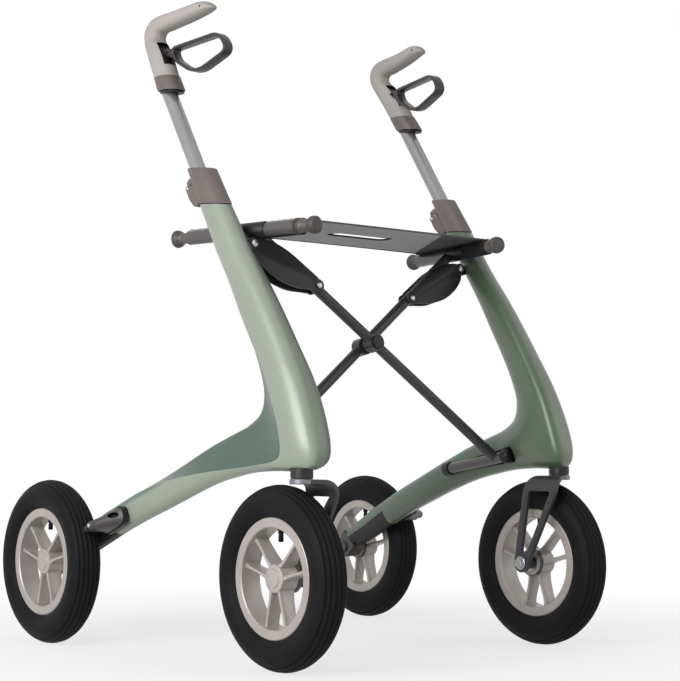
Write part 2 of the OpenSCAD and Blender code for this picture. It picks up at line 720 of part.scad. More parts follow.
// Shoe of the wheel brake: a horn over the tread, with the bar that presses on the tyre
shoe_inset = 1;
module brake_bar(left) {
  x = brake_seat + brake_w + pass;
  color("#3f3b39") mirrored(left) difference() {
    union() {
      hull() {
        side_prism(x, shoe_side_t) brake_outline(shoe_inset);
        translate([x + tip_out - tip_d / 2, tip_y, tip_z]) sphere(d = tip_d, $fn = 32);
      }
      along_x(x, shoe_y, shoe_z) cylinder(d = shoe_d, h = shoe_len);
    }
    along_x(x - over, shoe_pin_y, shoe_pin_z) cylinder(d = pin_d + 2 * fit, h = shoe_side_t + 2 * over);
    along_x(x + shoe_side_t, shoe_pin_y, shoe_pin_z) cylinder(d = shoe_well_d, h = tip_out);
  }
}

// Link between the upright and a brace: two bowed plates. Their outline is given along the line
// from the upper pivot to the lower one and square to it, as shares of the distance between them.
link_shares = [
  [ 0, .080], [ .12, .130], [ .30, .170], [ .50, .165], [ .75, .120], [1, .075],
  [1, -.075], [ .90, -.110], [ .70, -.200], [ .45, -.235], [ .20, -.190], [ .03, -.100]];
link_round_share = .2;
link_dir = unit(link_end - [link_x, link_rise]);
link_up = [link_dir[1], -link_dir[0]];
link_points = [for (s = link_shares) [link_x, link_rise] + link_len * (link_dir * s[0] + link_up * s[1])];
// Diameter and thickness of the rivets at the links' lower ends
rivet_d = 12.4;
rivet_t = 2;
module link(left) {
  color("#2e2d2f") mirrored(left) at_brace() difference() {
    for (e = [-1, 1]) translate([0, link_y(left) + e * (brace_r + pass + link_t / 2), 0]) rotate([90, 0, 0]) {
      linear_extrude(link_t, center = true) {
        polygon(rounded(link_points, link_len * link_round_share));
        translate([link_x, link_rise]) circle(r = link_end_r);
        translate(link_end) circle(r = link_end_r);
      }
      translate([link_end[0], link_end[1], -e * (link_t + rivet_t) / 2])
        cylinder(d = rivet_d, h = rivet_t, center = true);
    }
    translate([link_x, link_y(left), link_rise]) rotate([90, 0, 0])
      cylinder(d = link_pin_d + 2 * fit, h = link_stack + 2 * over, center = true);
  }
}

// Telescopic handle tube
module handle_tube(left) {
  color("#b9b5b2") mirrored(left) difference() {
    tube_solid();
    at_tube() translate([0, 0, -tube_down - over])
      cylinder(d = tube_d - 2 * tube_wall, h = tube_down + tube_up + tube_in_grip + 2 * over);
  }
}

// Grip: rises with the tube, turns forward and inward and ends in a rounded tip
function grip_point(y, z, x) = grip_foot + [-x * grip_turn, y * grip_reach, z * grip_rise];
function grip_station(r) =
  [grip_point(r[0], r[1], r[2]), grip_point(r[3], r[4], r[5]), r[6] * grip_w / 2];
module grip(left) {
  color("#c9c3bd") mirrored(left) difference() {
    loft([for (r = smooth(grip_shares, frame_steps)) section(grip_station(r), grip_sides)]);
    tube_solid();
    mount_solid();
  }
}

// Sleeve between the grip and the tube
module grip_sleeve(left) {
  color("#857a75") mirrored(left) difference() {
    loft([for (r = [sleeve_shares, grip_shares[0]]) section(grip_station(r), grip_sides)]);
    tube_solid();
  }
}

// Cheeks in the grip's neck that carry the brake loop, with their pin
// Width of the loop's tongue and its radius round the pin
loop_tongue_w = 9;
loop_tongue_r = 6.5;
module lever_mount(left) {
  color("#1d1c1d") mirrored(left) {
    difference() {
      mount_solid();
      at_loop() rotate([0, 90, 0]) cylinder(d = pin_d, h = mount_w + over, center = true);
      at_loop() rotate([0, 90, 0])
        cylinder(r = loop_tongue_r + pass, h = loop_tongue_w + 2 * pass, center = true);
      at_loop() translate([-loop_tongue_w / 2 - pass, -loop_len / 2, -loop_tongue_r - pass - mount_low])
        cube([loop_tongue_w + 2 * pass, loop_len / 2, 2 * (loop_tongue_r + pass) + mount_low]);
    }
    at_loop() rotate([0, 90, 0]) cylinder(d = pin_d, h = mount_w, center = true);
  }
}

// Brake loop that is squeezed towards the grip. Its tongue meets the loop between two shares of
// the loop's rear edge.
tongue_low_share = .3;
tongue_high_share = .9;
loop_points = [for (p = loop_shares) [p[0] * loop_len, p[1] * loop_h]];
module brake_lever(left) {
  color("#4e4848") mirrored(left) at_loop() difference() {
    union() {
      side_prism(-loop_band_w / 2, loop_band_w) difference() {
        polygon(rounded(loop_points, loop_h * loop_round_share));
        polygon(rounded(inset(loop_points, loop_band_t), (loop_h - 2 * loop_band_t) * loop_round_share));
      }
      rotate([0, 90, 0]) cylinder(r = loop_tongue_r, h = loop_tongue_w, center = true);
      side_prism(-loop_tongue_w / 2, loop_tongue_w) polygon([
        [0, loop_tongue_r], [0, -loop_tongue_r],
        mix(loop_points[4], loop_points[0], tongue_low_share) + [-loop_band_t / 2, 0],
        mix(loop_points[4], loop_points[0], tongue_high_share) + [-loop_band_t / 2, 0]]);
    }
    rotate([0, 90, 0]) cylinder(d = pin_d + 2 * fit, h = mount_w + over, center = true);
  }
}

// Caster fork: crown, stem and one blade on the inner side of the wheel
blade_x = front_x - blade_off;
// Corners of the blade's window, as shares of a leg's width
window_front_share = 1.5;
window_foot_shares = [-.2, .1];
module fork(left) {
  top = crown_z + crown_t;
  h = blade_top_w / 2;
  color("#4a4b50") mirrored(left) difference() {
    union() {
      translate([0, 0, crown_z]) linear_extrude(crown_t) {
        translate([steer_x, steer_y]) circle(r = crown_r);
        polygon([
          [steer_x, steer_y - crown_r], [steer_x, steer_y + crown_r],
          [blade_x, steer_y + h], [blade_x - blade_t, steer_y + h],
          [blade_x - blade_t, steer_y - h], [blade_x, steer_y - h]]);
      }
      side_prism(blade_x - blade_t, blade_t) difference() {
        union() {
          translate([front_y, axle_z]) circle(r = blade_end_r);
          polygon([
            [steer_y - h, top], [front_y - blade_end_r, axle_z],
            [front_y + blade_end_r, axle_z], [steer_y + h, top]]);
        }
        polygon([
          [steer_y - h + blade_leg_w * window_front_share, crown_z - blade_leg_w],
          [front_y + blade_leg_w * window_foot_shares[0], axle_z + 2 * blade_end_r],
          [front_y + blade_leg_w * window_foot_shares[1], axle_z + 2 * blade_end_r],
          [steer_y + h - blade_leg_w, crown_z - blade_leg_w]]);
      }
      along_x(blade_x - blade_t, front_y, axle_z)
        cylinder(d = axle_head_d, h = blade_t + blade_off - hub_in - rest_gap);
      at_steer(crown_z) cylinder(d = stem_d, h = housing_top - crown_z - steer_gap);
    }
    along_x(blade_x - blade_t - over, front_y, axle_z) cylinder(d = axle_d, h = blade_off + blade_t + over);
  }
}

// Axle bolt of a front wheel
module front_axle(left) {
  color("#b8b8ba") mirrored(left) {
    along_x(blade_x - blade_t - axle_head_t, front_y, axle_z) cylinder(d = axle_head_d, h = axle_head_t);
    along_x(blade_x - blade_t - axle_head_t, front_y, axle_z)
      cylinder(d = axle_d, h = axle_head_t + blade_t + blade_off + hub_out - hub_wall - axle_tip_gap);
  }
}

// Cast rim with twin spokes, hub and hub cap. The spokes' roots lie at a share of the hub's radius.
spoke_root_share = .6;
module rim() {
  h = rim_w / 2;
  difference() {
    union() {
      rotate_extrude($fn = 96) polygon([
        [rim_in_r, -h], [rim_r, -h], [rim_r, flange_t - h], [tyre_seat_r, flange_t - h],
        [tyre_seat_r, h - flange_t], [rim_r, h - flange_t], [rim_r, h], [rim_in_r, h]]);
      translate([0, 0, -hub_in]) cylinder(d = hub_d, h = hub_in + hub_out);
      translate([0, 0, hub_out]) cylinder(d = hub_cap_d, h = hub_cap_h);
      for (k = [0 : spoke_pairs - 1]) for (e = [-1, 1]) rotate(k * 360 / spoke_pairs) {
        a = [hub_d / 2 * spoke_root_share, e * hub_d / 2 * spoke_root_share];
        b = (rim_in_r + barrel_t / 2) * [cos(spoke_half_angle), e * sin(spoke_half_angle)];
        n = unit([a[1] - b[1], b[0] - a[0]]) * spoke_t / 2;
        translate([0, 0, -spoke_depth / 2]) linear_extrude(spoke_depth) polygon([a - n, b - n, b + n, a + n]);
      }
    }
    translate([0, 0, -hub_in - over]) cylinder(d = bearing_d, h = hub_in + hub_out - hub_wall + over);
  }
}

// Tyre with grooves round its tread and an air space over the rim
// Half of the angle that the tread takes of the tyre's round section
tread_half_angle = 52;
// Sharpness of the grooves, as a power
groove_power = 8;
function groove_wave(t) = sin(90 * groove_count * (t + tread_half_angle) / tread_half_angle);
function groove(t) = abs(t) > tread_half_angle ? 0 : groove_depth * pow(groove_wave(t), groove_power);
module tyre() {
  r = tyre_w / 2;
  seat_w = rim_w / 2 - flange_t;
  lip = asin((tyre_c - rim_r - rest_gap) / r);
  steps = groove_count * groove_steps * 2;
  rotate_extrude($fn = 96) polygon(concat(
    [[tyre_seat_r, -seat_w], [rim_r + rest_gap, -seat_w]],
    [for (k = [0 : 4]) let (t = mix(-90 - lip, -tread_half_angle, k / 5)) [tyre_c + r * cos(t), r * sin(t)]],
    [for (k = [0 : steps]) let (t = mix(-tread_half_angle, tread_half_angle, k / steps), q = r - groove(t))
      [tyre_c + q * cos(t), q * sin(t)]],
    [for (k = [1 : 5]) let (t = mix(tread_half_angle, 90 + lip, k / 5)) [tyre_c + r * cos(t), r * sin(t)]],
    [[rim_r + rest_gap, seat_w], [tyre_seat_r, seat_w], [tyre_seat_r, seat_w - tyre_wall]],
    [for (k = [0 : 10]) let (t = mix(90, -90, k / 10), q = r - tyre_wall) [tyre_c + q * cos(t), q * sin(t)]],
    [[tyre_seat_r, tyre_wall - seat_w]]));
  valve_foot = sqrt(rim_in_r * rim_in_r - valve_d * valve_d / 4) - fit;
  rotate([0, 90, 0]) translate([0, 0, -valve_foot]) cylinder(d = valve_d, h = valve_len);
}
module wheel_bearings() {
  for (z = [-hub_in, hub_out - hub_wall - bearing_w]) translate([0, 0, z]) difference() {
    cylinder(d = bearing_d, h = bearing_w);
    translate([0, 0, -over]) cylinder(d = axle_d + 2 * fit, h = bearing_w + 2 * over);
  }
}
module at_front(left) mirrored(left) along_x(front_x, front_y, axle_z) children();
module at_rear(left) mirrored(left) along_x(rear_x, rear_y, axle_z) children();
module front_rim(left) color("#b9b2ac") at_front(left) rim();
module rear_rim(left) color("#b9b2ac") at_rear(left) rim();
module front_tyre(left) color("#1e1e1f") at_front(left) tyre();
module rear_tyre(left) color("#1e1e1f") at_rear(left) tyre();
module front_bearings(left) color("#8c8c8f") at_front(left) wheel_bearings();
module rear_bearings(left) color("#8c8c8f") at_rear(left) wheel_bearings();

// Seat rail on a brace's upper end
module seat_rail(left) {
  color("#9c9498") mirrored(left) difference() {
    rail_solid();
    at_rail() translate([0, -rail_front - over, 0]) rotate([-90, 0, 0])
      cylinder(d = rail_d - 2 * rail_wall, h = rail_front + rail_back + 2 * over);
  }
}

// Bag knobs in the rail's two ends: along each, a share of its length and of its cap's radius
knob_shares = [[.20, .63], [.62, .61], [.74, .93], [.86, 1], [.95, .90], [1, .62]];
module bag_knob(length) {
  stem = rail_r - rail_wall;
  rotate_extrude() polygon(concat(
    [[0, -knob_stem], [stem, -knob_stem], [stem, 0], [rail_r, 0]],
    [for (k = knob_shares) [knob_d / 2 * k[1], k[0] * length]],
    [[0, length]]));
}
module bag_knobs(left) {
  color("#6a605b") mirrored(left) at_rail() {
    translate([0, rail_back, 0]) rotate([-90, 0, 0]) bag_knob(knob_back_len);
    translate([0, -rail_front, 0]) rotate([90, 0, 0]) bag_knob(knob_len);
  }
}

// Cross brace: the front tube rises to the right rail, the rear one to the left
brace_low = norm([brace_half, brace_drop]);
// How far the middle bosses stand out of the brace tubes
boss_lip = 1;
// Half of the space between the bosses, and shares of the boss taken by the spacer and bolt heads
spacer_half = brace_gap / 2 - brace_r - boss_lip;
spacer_share = .7;
head_share = .8;
module brace(left) {
  y = link_y(left);
  color("#3e3e40") difference() {
    union() {
      mirrored(left) at_brace() translate([0, y, 0]) rotate([0, 90 - brace_angle, 0])
        translate([0, 0, -brace_low]) difference() {
          cylinder(d = brace_d, h = brace_low + brace_reach);
          translate([0, 0, -over])
            cylinder(d = brace_d - 2 * brace_wall, h = brace_low + brace_reach + 2 * over);
        }
      at_brace() translate([0, y, 0]) rotate([90, 0, 0])
        cylinder(d = boss_d, h = brace_d + 2 * boss_lip, center = true);
    }
    at_brace() rotate([90, 0, 0]) cylinder(d = bolt_d + 2 * fit, h = 2 * brace_gap + over, center = true);
    mirrored(left) rail_solid();
    mirrored(!left) at_hinge() cylinder(d = barrel_d, h = hinge_len, center = true);
  }
}
module hinge_barrel(left) {
  color("#9c9498") mirrored(left) at_hinge() difference() {
    cylinder(d = barrel_d, h = hinge_len - 2 * (block_len + pass), center = true);
    cylinder(d = shaft_d + 2 * fit, h = hinge_len, center = true);
  }
}
module brace_bolt() {
  reach = brace_gap / 2 + brace_r + boss_lip;
  color("#232325") at_brace() rotate([90, 0, 0]) {
    cylinder(d = bolt_d, h = 2 * (reach + rest_gap + bolt_head_t), center = true);
    cylinder(d = boss_d * spacer_share, h = 2 * (spacer_half - rest_gap), center = true);
    for (e = [-1, 1]) translate([0, 0, e * (reach + rest_gap + bolt_head_t / 2)])
      cylinder(d = boss_d * head_share, h = bolt_head_t, center = true);
  }
}

// Sling of the seat, over both rails, with a hand slot. Its edges lie at shares of the rails'
// radius and lengths, its front bows by a share, and the slot lies a share off the rails' middle.
cloth_edge_share = .6;
cloth_front_share = .9;
cloth_back_share = .88;
cloth_crown_share = .12;
slot_y_share = -.035;
module seat_cloth() {
  function on_rail(s, e) =
    [e * (rail_mid[0] + s * sin(rail_toe) + cloth_edge_share * rail_r), rail_mid[1] + s * cos(rail_toe)];
  f = rail_front * cloth_front_share;
  b = rail_back * cloth_back_share;
  color("#6f6d6d") translate([0, 0, rail_mid[2] + rail_r + rest_gap]) linear_extrude(cloth_t) difference() {
    polygon([
      on_rail(-f, 1), on_rail(b, 1), on_rail(b, -1), on_rail(-f, -1),
      [0, rail_mid[1] - f * (1 + cloth_crown_share)]]);
    translate([0, rail_mid[1] + slot_y_share * (f + b)]) {
      square([slot_len - slot_w, slot_w], center = true);
      for (e = [-1, 1]) translate([e * (slot_len - slot_w) / 2, 0]) circle(d = slot_w);
    }
  }
}

frame(false);  // frame_right
clamp_collar(false);  // clamp_collar_right
frame_brackets(false);  // frame_brackets_right
steer_housing(false);  // steer_housing_right
arm_plug(false);  // arm_plug_right
rear_axle(false);  // rear_axle_right
brake_body(false);  // brake_body_right
frame_pins(false);  // frame_pins_right
clamp_lever(false);  // clamp_lever_right
link(false);  // link_right
handle_tube(false);  // handle_tube_right
grip(false);  // grip_right
grip_sleeve(false);  // grip_sleeve_right
lever_mount(false);  // lever_mount_right
brake_lever(false);  // brake_lever_right
brake_bar(false);  // brake_bar_right
fork(false);  // fork_right
front_axle(false);  // front_axle_right
front_rim(false);  // front_rim_right
front_tyre(false);  // front_tyre_right
front_bearings(false);  // front_bearings_right
rear_rim(false);  // rear_rim_right
rear_tyre(false);  // rear_tyre_right
rear_bearings(false);  // rear_bearings_right
seat_rail(false);  // seat_rail_right
bag_knobs(false);  // bag_knobs_right
frame(true);  // frame_left
clamp_collar(true);  // clamp_collar_left
frame_brackets(true);  // frame_brackets_left
steer_housing(true);  // steer_housing_left
arm_plug(true);  // arm_plug_left
rear_axle(true);  // rear_axle_left
brake_body(true);  // brake_body_left
frame_pins(true);  // frame_pins_left
clamp_lever(true);  // clamp_lever_left
link(true);  // link_left
handle_tube(true);  // handle_tube_left
grip(true);  // grip_left
grip_sleeve(true);  // grip_sleeve_left
lever_mount(true);  // lever_mount_left
brake_lever(true);  // brake_lever_left
brake_bar(true);  // brake_bar_left
fork(true);  // fork_left
front_axle(true);  // front_axle_left
front_rim(true);  // front_rim_left
front_tyre(true);  // front_tyre_left
front_bearings(true);  // front_bearings_left
rear_rim(true);  // rear_rim_left
rear_tyre(true);  // rear_tyre_left
rear_bearings(true);  // rear_bearings_left
seat_rail(true);  // seat_rail_left
bag_knobs(true);  // bag_knobs_left
brace(false);  // brace_front
brace(true);  // brace_rear
hinge_barrel(true);  // hinge_barrel_front
hinge_barrel(false);  // hinge_barrel_rear
brace_bolt();
seat_cloth();
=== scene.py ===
import json
import math

import bmesh
import bpy
from mathutils import Matrix, Vector

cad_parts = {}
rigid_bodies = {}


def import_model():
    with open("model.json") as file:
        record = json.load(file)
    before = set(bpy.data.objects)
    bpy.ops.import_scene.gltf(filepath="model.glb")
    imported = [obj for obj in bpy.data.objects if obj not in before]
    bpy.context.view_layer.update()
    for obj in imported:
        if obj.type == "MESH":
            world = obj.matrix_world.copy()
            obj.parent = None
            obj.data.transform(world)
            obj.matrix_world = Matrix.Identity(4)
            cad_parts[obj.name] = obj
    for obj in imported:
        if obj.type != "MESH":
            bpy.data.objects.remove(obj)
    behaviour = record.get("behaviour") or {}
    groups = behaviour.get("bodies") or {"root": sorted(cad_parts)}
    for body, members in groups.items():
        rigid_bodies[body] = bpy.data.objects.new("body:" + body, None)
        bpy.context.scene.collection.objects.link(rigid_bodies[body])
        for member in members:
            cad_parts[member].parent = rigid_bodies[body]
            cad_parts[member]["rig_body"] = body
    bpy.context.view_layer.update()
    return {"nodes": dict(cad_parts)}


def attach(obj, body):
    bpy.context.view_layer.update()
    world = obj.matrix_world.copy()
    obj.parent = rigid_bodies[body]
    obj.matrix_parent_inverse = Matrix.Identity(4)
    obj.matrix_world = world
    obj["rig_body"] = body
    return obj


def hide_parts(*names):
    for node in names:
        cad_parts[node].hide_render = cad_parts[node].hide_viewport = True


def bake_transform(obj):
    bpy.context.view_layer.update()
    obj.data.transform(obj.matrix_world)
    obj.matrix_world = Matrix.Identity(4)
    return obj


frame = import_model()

# All terrain rollator. Sizes in the dictionaries are millimetres, on the walker's left side.
mm = 0.001
scene = bpy.context.scene
nodes = frame["nodes"]
sides = {"right": -1, "left": 1}
railBody = {"right": "brace_front_body", "left": "brace_rear_body"}  # each brace carries one rail
flatness = 0.87  # power of a section's outline, 1 is an ellipse


def linear(hexColour):  # sRGB hex to linear colour
    parts = [int(hexColour[i:i + 2], 16) / 255 for i in (1, 3, 5)]
    return (*(c / 12.92 if c <= 0.04045 else ((c + 0.055) / 1.055) ** 2.4 for c in parts), 1.0)


def addNode(tree, kind, settings=None, out=0):  # sockets among the settings are linked; gives an output
    made = tree.nodes.new(kind)
    for key, value in (settings or {}).items():
        if isinstance(value, bpy.types.NodeSocket):
            tree.links.new(value, made.inputs[key])
        elif isinstance(key, int) or key in made.inputs:
            made.inputs[key].default_value = value
        else:
            setattr(made, key, value)
    return made.outputs if out is None else made.outputs[out]


def calc(tree, operation, *terms):
    return addNode(tree, "ShaderNodeMath", {"operation": operation, **dict(enumerate(terms))})


def ranged(tree, value, low, high, toLow=0.0, toHigh=1.0, kind="LINEAR"):  # a value moved to another range
    return addNode(tree, "ShaderNodeMapRange", {
        "interpolation_type": kind, 0: value, 1: low, 2: high, 3: toLow, 4: toHigh})


def mixed(tree, share, low, high):  # a colour between two, each a hex or a socket
    low, high = (linear(c) if isinstance(c, str) else c for c in (low, high))
    return addNode(tree, "ShaderNodeMix", {"data_type": "RGBA", 0: share, 6: low, 7: high}, 2)


def weighed(tree, first, share, second, rest):  # two patterns added up
    return calc(tree, "MULTIPLY_ADD", first, share, calc(tree, "MULTIPLY", second, rest))


def noise(tree, sizeMm, detail, where, rough=0.5):
    return addNode(tree, "ShaderNodeTexNoise", {
        "Scale": 1 / (sizeMm * mm), "Detail": detail, "Roughness": rough, "Vector": where})


socketNames = {"rough": "Roughness", "metal": "Metallic", "ior": "IOR", "gloss": "Specular IOR Level",
               "coat": "Coat Weight", "coatRough": "Coat Roughness", "sheen": "Sheen Weight"}


def newFinish(name, **surface):  # a principled material with its plain sockets set
    made = bpy.data.materials.new(name)
    made.use_nodes = True
    shader = made.node_tree.nodes["Principled BSDF"].inputs
    for key, value in surface.items():
        shader[socketNames[key]].default_value = value
    return made, made.node_tree, shader, addNode(made.node_tree, "ShaderNodeTexCoord", out=None)


# Mottle and grain: a slow colour drift, a fine grain in colour and roughness, and a little relief.
def grained(name, dark, light, rough, grainMm, relief, spread=0.08, stretch=(1, 1, 1), driftMm=60, **more):
    made, tree, shader, where = newFinish(name, rough=rough, **more)
    drawn = addNode(tree, "ShaderNodeMapping", {"Scale": stretch, "Vector": where["Object"]})
    grain, drift = noise(tree, grainMm, 3.0, drawn, 0.6), noise(tree, driftMm, 2.0, where["Object"])
    mottle = ranged(tree, weighed(tree, grain, 0.45, drift, 0.55), 0.32, 0.68)
    tree.links.new(mixed(tree, mottle, dark, light), shader["Base Color"])
    tree.links.new(ranged(tree, grain, 0.3, 0.7, rough - spread, rough + spread), shader["Roughness"])
    bump = addNode(tree, "ShaderNodeBump", {"Strength": 0.6, "Distance": relief * mm, "Height": grain})
    tree.links.new(bump, shader["Normal"])
    return made


# Pearl lacquer on a moulded frame: fine pale flakes over sage; deeper green on inward faces and teal on
# upward faces, both painted shade.
def pearlLacquer(name, outer, inner, upper):  # two shades each for outer faces, and for inner and upward faces in painted shade
    made, tree, shader, where = newFinish(
        name, metal=0.1, rough=0.42, ior=1.5, gloss=0.4, coat=0.3, coatRough=0.3)
    flakeScale = 1 / (0.9 * mm)  # drawn coarse to show
    flake = addNode(tree, "ShaderNodeTexVoronoi", {"Scale": flakeScale, "Vector": where["Object"]}, "Color")
    tone = addNode(tree, "ShaderNodeSeparateColor", {0: flake}, None)
    blend = weighed(tree, tone[0], 0.3, noise(tree, 150, 1.5, where["Object"]), 0.7)
    facing = addNode(tree, "ShaderNodeSeparateXYZ", {0: where["Normal"]}, None)
    hand = calc(tree, "SIGN", addNode(tree, "ShaderNodeSeparateXYZ", {0: where["Object"]}))
    outward = ranged(tree, calc(tree, "MULTIPLY", facing[0], hand), -0.45, 0.35, kind="SMOOTHSTEP")
    lean = calc(tree, "MULTIPLY_ADD", facing[1], 0.7, facing[2])
    upwardShade = ranged(tree, lean, 0.15, 0.6, kind="SMOOTHSTEP")
    # deep on inward faces and teal on upward faces are painted shade, not the paint's own colour
    sage, deep, tealShade = (mixed(tree, blend, *pair) for pair in (outer, inner, upper))
    tree.links.new(mixed(tree, upwardShade, mixed(tree, outward, deep, sage), tealShade), shader["Base Color"])
    tree.links.new(ranged(tree, tone[1], 0.0, 1.0, 0.32, 0.4), shader["Roughness"])
    return made


# Woven polyester mesh: open cells of twisted yarn, black beyond a slanted line beside the left rail.
def meshCloth(cloth):
    made, tree, shader, where = newFinish("polyester_mesh_woven", rough=0.85, gloss=0.25, sheen=0.15)
    flat = where["UV"]
    yarn = {"wave_type": "BANDS", "wave_profile": "SIN", "Scale": 1 / (cloth["yarn"] * mm) * math.pi / 10,
            "Distortion": 0.0, "Vector": flat}
    warp, weft = (addNode(tree, "ShaderNodeTexWave", {**yarn, "bands_direction": d}, 1) for d in "XY")
    cell = calc(tree, "MULTIPLY", warp, weft)
    level = weighed(tree, cell, 0.7, noise(tree, 9, 4.0, flat), 0.35)
    split = addNode(tree, "ShaderNodeSeparateXYZ", {0: flat}, None)
    line = calc(tree, "MULTIPLY_ADD", split[1], -cloth["blackLineSlope"], split[0])
    blackShare = ranged(tree, line, (cloth["blackLineAt"] - 1) * mm, (cloth["blackLineAt"] + 1) * mm)
    grey, black = mixed(tree, level, "#d2cfcf", "#7b797a"), mixed(tree, level, "#2a2929", "#151515")
    tree.links.new(mixed(tree, blackShare, grey, black), shader["Base Color"])
    bump = addNode(tree, "ShaderNodeBump", {
        "Strength": 0.7, "Distance": 0.5 * mm, "invert": True, "Height": cell})
    tree.links.new(bump, shader["Normal"])
    return made


clothSize = {"yarn": 2.6, "blackLineSlope": 0.62, "blackLineAt": 218, "thick": 1.6, "sag": 1.5, "front": -93,
             "back": 112, "acrossSteps": 84, "alongSteps": 44, "wrapFrom": 74, "wrapTurn": 100,
             "wrapSteps": 6, "bow": 9, "backBow": 16, "lift": 1.0, "slotLength": 112, "slotWidth": 30,
             "slotCorner": 9, "slotY": -117, "hem": 1.7, "thinHem": 1.36, "hemFlat": 1.5, "welt": 2.0,
             "weltAt": 0.955, "weltDrop": 1.4}

finishes = {
    "pearl": pearlLacquer("pearl_lacquer_sprayed", ("#868f80", "#9aa393"), ("#4b5c47", "#5b6d56"),
                          ("#3d5b4b", "#4f6f5d")),
    # a darker copy of the same lacquer for the scoop: painted shade
    "scoop": pearlLacquer("pearl_lacquer_painted_shade", ("#3c5145", "#4c6355"), ("#3c4c3a", "#4a5a46"),
                          ("#31493d", "#415c4e")),
    # Moulded ABS and nylon with a spark-eroded texture: satin, a soft highlight and fine grain
    "taupe": grained("abs_taupe_moulded", "#5f5651", "#6c635e", 0.5, 1.5, 0.10, ior=1.53),
    "black": grained("nylon_black_moulded", "#121112", "#1e1d1e", 0.46, 1.4, 0.10, ior=1.53, gloss=0.3),
    "dark": grained("nylon_grey_moulded", "#383432", "#464140", 0.46, 1.6, 0.08, ior=1.53),
    "loop": grained("nylon_umber_moulded", "#2f2b2c", "#3f3a3a", 0.38, 1.6, 0.08, ior=1.53, gloss=0.35),
    "knob": grained("abs_umber_moulded", "#4c4640", "#58524c", 0.45, 1.5, 0.10, ior=1.53),
    # Soft rubber: matt, slightly mottled where hands rub it
    "cap": grained("rubber_grey_moulded", "#3b3837", "#484443", 0.55, 1.6, 0.12, ior=1.52),
    "grip": grained("tpe_warm_grey_moulded", "#a39d97", "#afa9a3", 0.66, 1.8, 0.03, ior=1.5),
    # Satin anodised tube: even, with a soft streak along the draw direction
    "tube": grained("aluminium_satin_anodised", "#8f8d8c", "#9b9998", 0.3, 1.2, 0.004, 0.03,
                    (1, 1, 0.12), 200, metal=0.55),
    "rail": grained("aluminium_grey_anodised", "#545051", "#5f5b5c", 0.34, 1.2, 0.01, 0.03,
                    (1, 0.1, 1), 200, metal=0.3),
    # Powder coat and lacquer on metal: orange peel and a broad dull highlight; bevelled edges brighter, a
    # painted highlight
    "gunmetal": grained("aluminium_gunmetal_powder_coated", "#36373a", "#444548", 0.4, 1.9, 0.10,
                        metal=0.2, gloss=0.4),
    "edge": grained("aluminium_bright_highlight", "#6f6f74", "#84848a", 0.4, 1.6, 0.06, metal=0.8),
    "brace": grained("steel_dark_powder_coated", "#303032", "#3e3e40", 0.36, 1.8, 0.08, metal=0.1, gloss=0.4),
    "plate": grained("steel_black_lacquered", "#1d1d1f", "#2a2a2c", 0.42, 1.8, 0.08, metal=0.1, gloss=0.35),
    # Silver lacquer on a die cast wheel: warm, satin, faintly cloudy
    "rim": grained("aluminium_cast_silver_lacquered", "#a39c95", "#b5aea7", 0.42, 1.8, 0.06,
                   metal=0.3, coat=0.1, coatRough=0.2),
    # Vulcanised tyre rubber: near black and dull
    "tyre": grained("rubber_black_vulcanised", "#0e0e0f", "#181819", 0.6, 2.2, 0.14, ior=1.52, gloss=0.1),
    # Zinc plate on small steel parts: bright, with small sharp glints
    "steel": grained("steel_zinc_plated", "#a9a9ab", "#c0c0c2", 0.3, 1.5, 0.03, metal=1.0),
    # Woven tape: dull, ribbed across
    "webbing": grained("polyester_webbing_woven", "#191819", "#2b2a2a", 0.85, 1.6, 0.3, 0.06,
                       (1, 4, 1), gloss=0.2),
    "tape": grained("polyester_tape_woven", "#5e5b5c", "#767373", 0.85, 1.6, 0.3, 0.06, (1, 4, 1), gloss=0.2),
    "mesh": meshCloth(clothSize),
}
print("materials:", len(finishes))


def circle(count):  # angles of a ring's points
    return [2 * math.pi * j / count for j in range(count)]


def squared(a, power):  # cosine and sine of a circle with flattened sides
    return [math.copysign(abs(v) ** power, v) for v in (math.cos(a), math.sin(a))]


def spline(rows, steps):  # Catmull-Rom through a table's rows
    out = []
    last = len(rows) - 1
    for i in range(last):
        a, b, c, d = rows[max(i - 1, 0)], rows[i], rows[i + 1], rows[min(i + 2, last)]
        for k in range(steps):
            t = k / steps
            out.append([(2 * q + (r - p) * t + (2 * p - 5 * q + 4 * r - s) * t * t
                         + (3 * q - p - 3 * r + s) * t ** 3) / 2 for p, q, r, s in zip(a, b, c, d)])
    return out + [list(rows[last])]


def oval(rear, front, half, count, grow=0.0):  # flattened section between two edge points
    mid, arm = (rear + front) / 2, (rear - front) / 2
    arm = arm * (1 + grow / arm.length)
    return [mid + arm * c + Vector(((half + grow) * s, 0, 0))
            for c, s in (squared(a, flatness) for a in circle(count))]


def skin(rings, loop=False, bm=None):  # rows of points joined by quads, closed at the ends
    bm = bm or bmesh.new()
    rows = [[bm.verts.new(p) for p in ring] for ring in rings]
    count = len(rows[0])
    for a, b in zip(rows, rows[1:] + ([rows[0]] if loop else [])):
        for j in range(count):
            bm.faces.new((a[j], a[(j + 1) % count], b[(j + 1) % count], b[j]))
    if not loop:
        bm.faces.new(rows[0][::-1])
        bm.faces.new(rows[-1])
    bm.faces.ensure_lookup_table()
    return bm


def turned(profile, count, matrix, loop=False, bm=None):  # (radius, height) pairs turned round the local Z
    rings = [[matrix @ Vector((r * math.cos(a), r * math.sin(a), h)) for a in circle(count)]
             for r, h in profile]
    return skin(rings, loop, bm)


def bezierRound(points, radius, steps):  # a closed outline with its corners rounded
    out = []
    for i, p in enumerate(points):
        a, b = points[i - 1] - p, points[(i + 1) % len(points)] - p
        d = min(radius, 0.47 * a.length, 0.47 * b.length)
        for k in range(steps + 1):
            t = k / steps
            out.append(p + a.normalized() * d * (1 - t) ** 2 + b.normalized() * d * t * t)
    return out


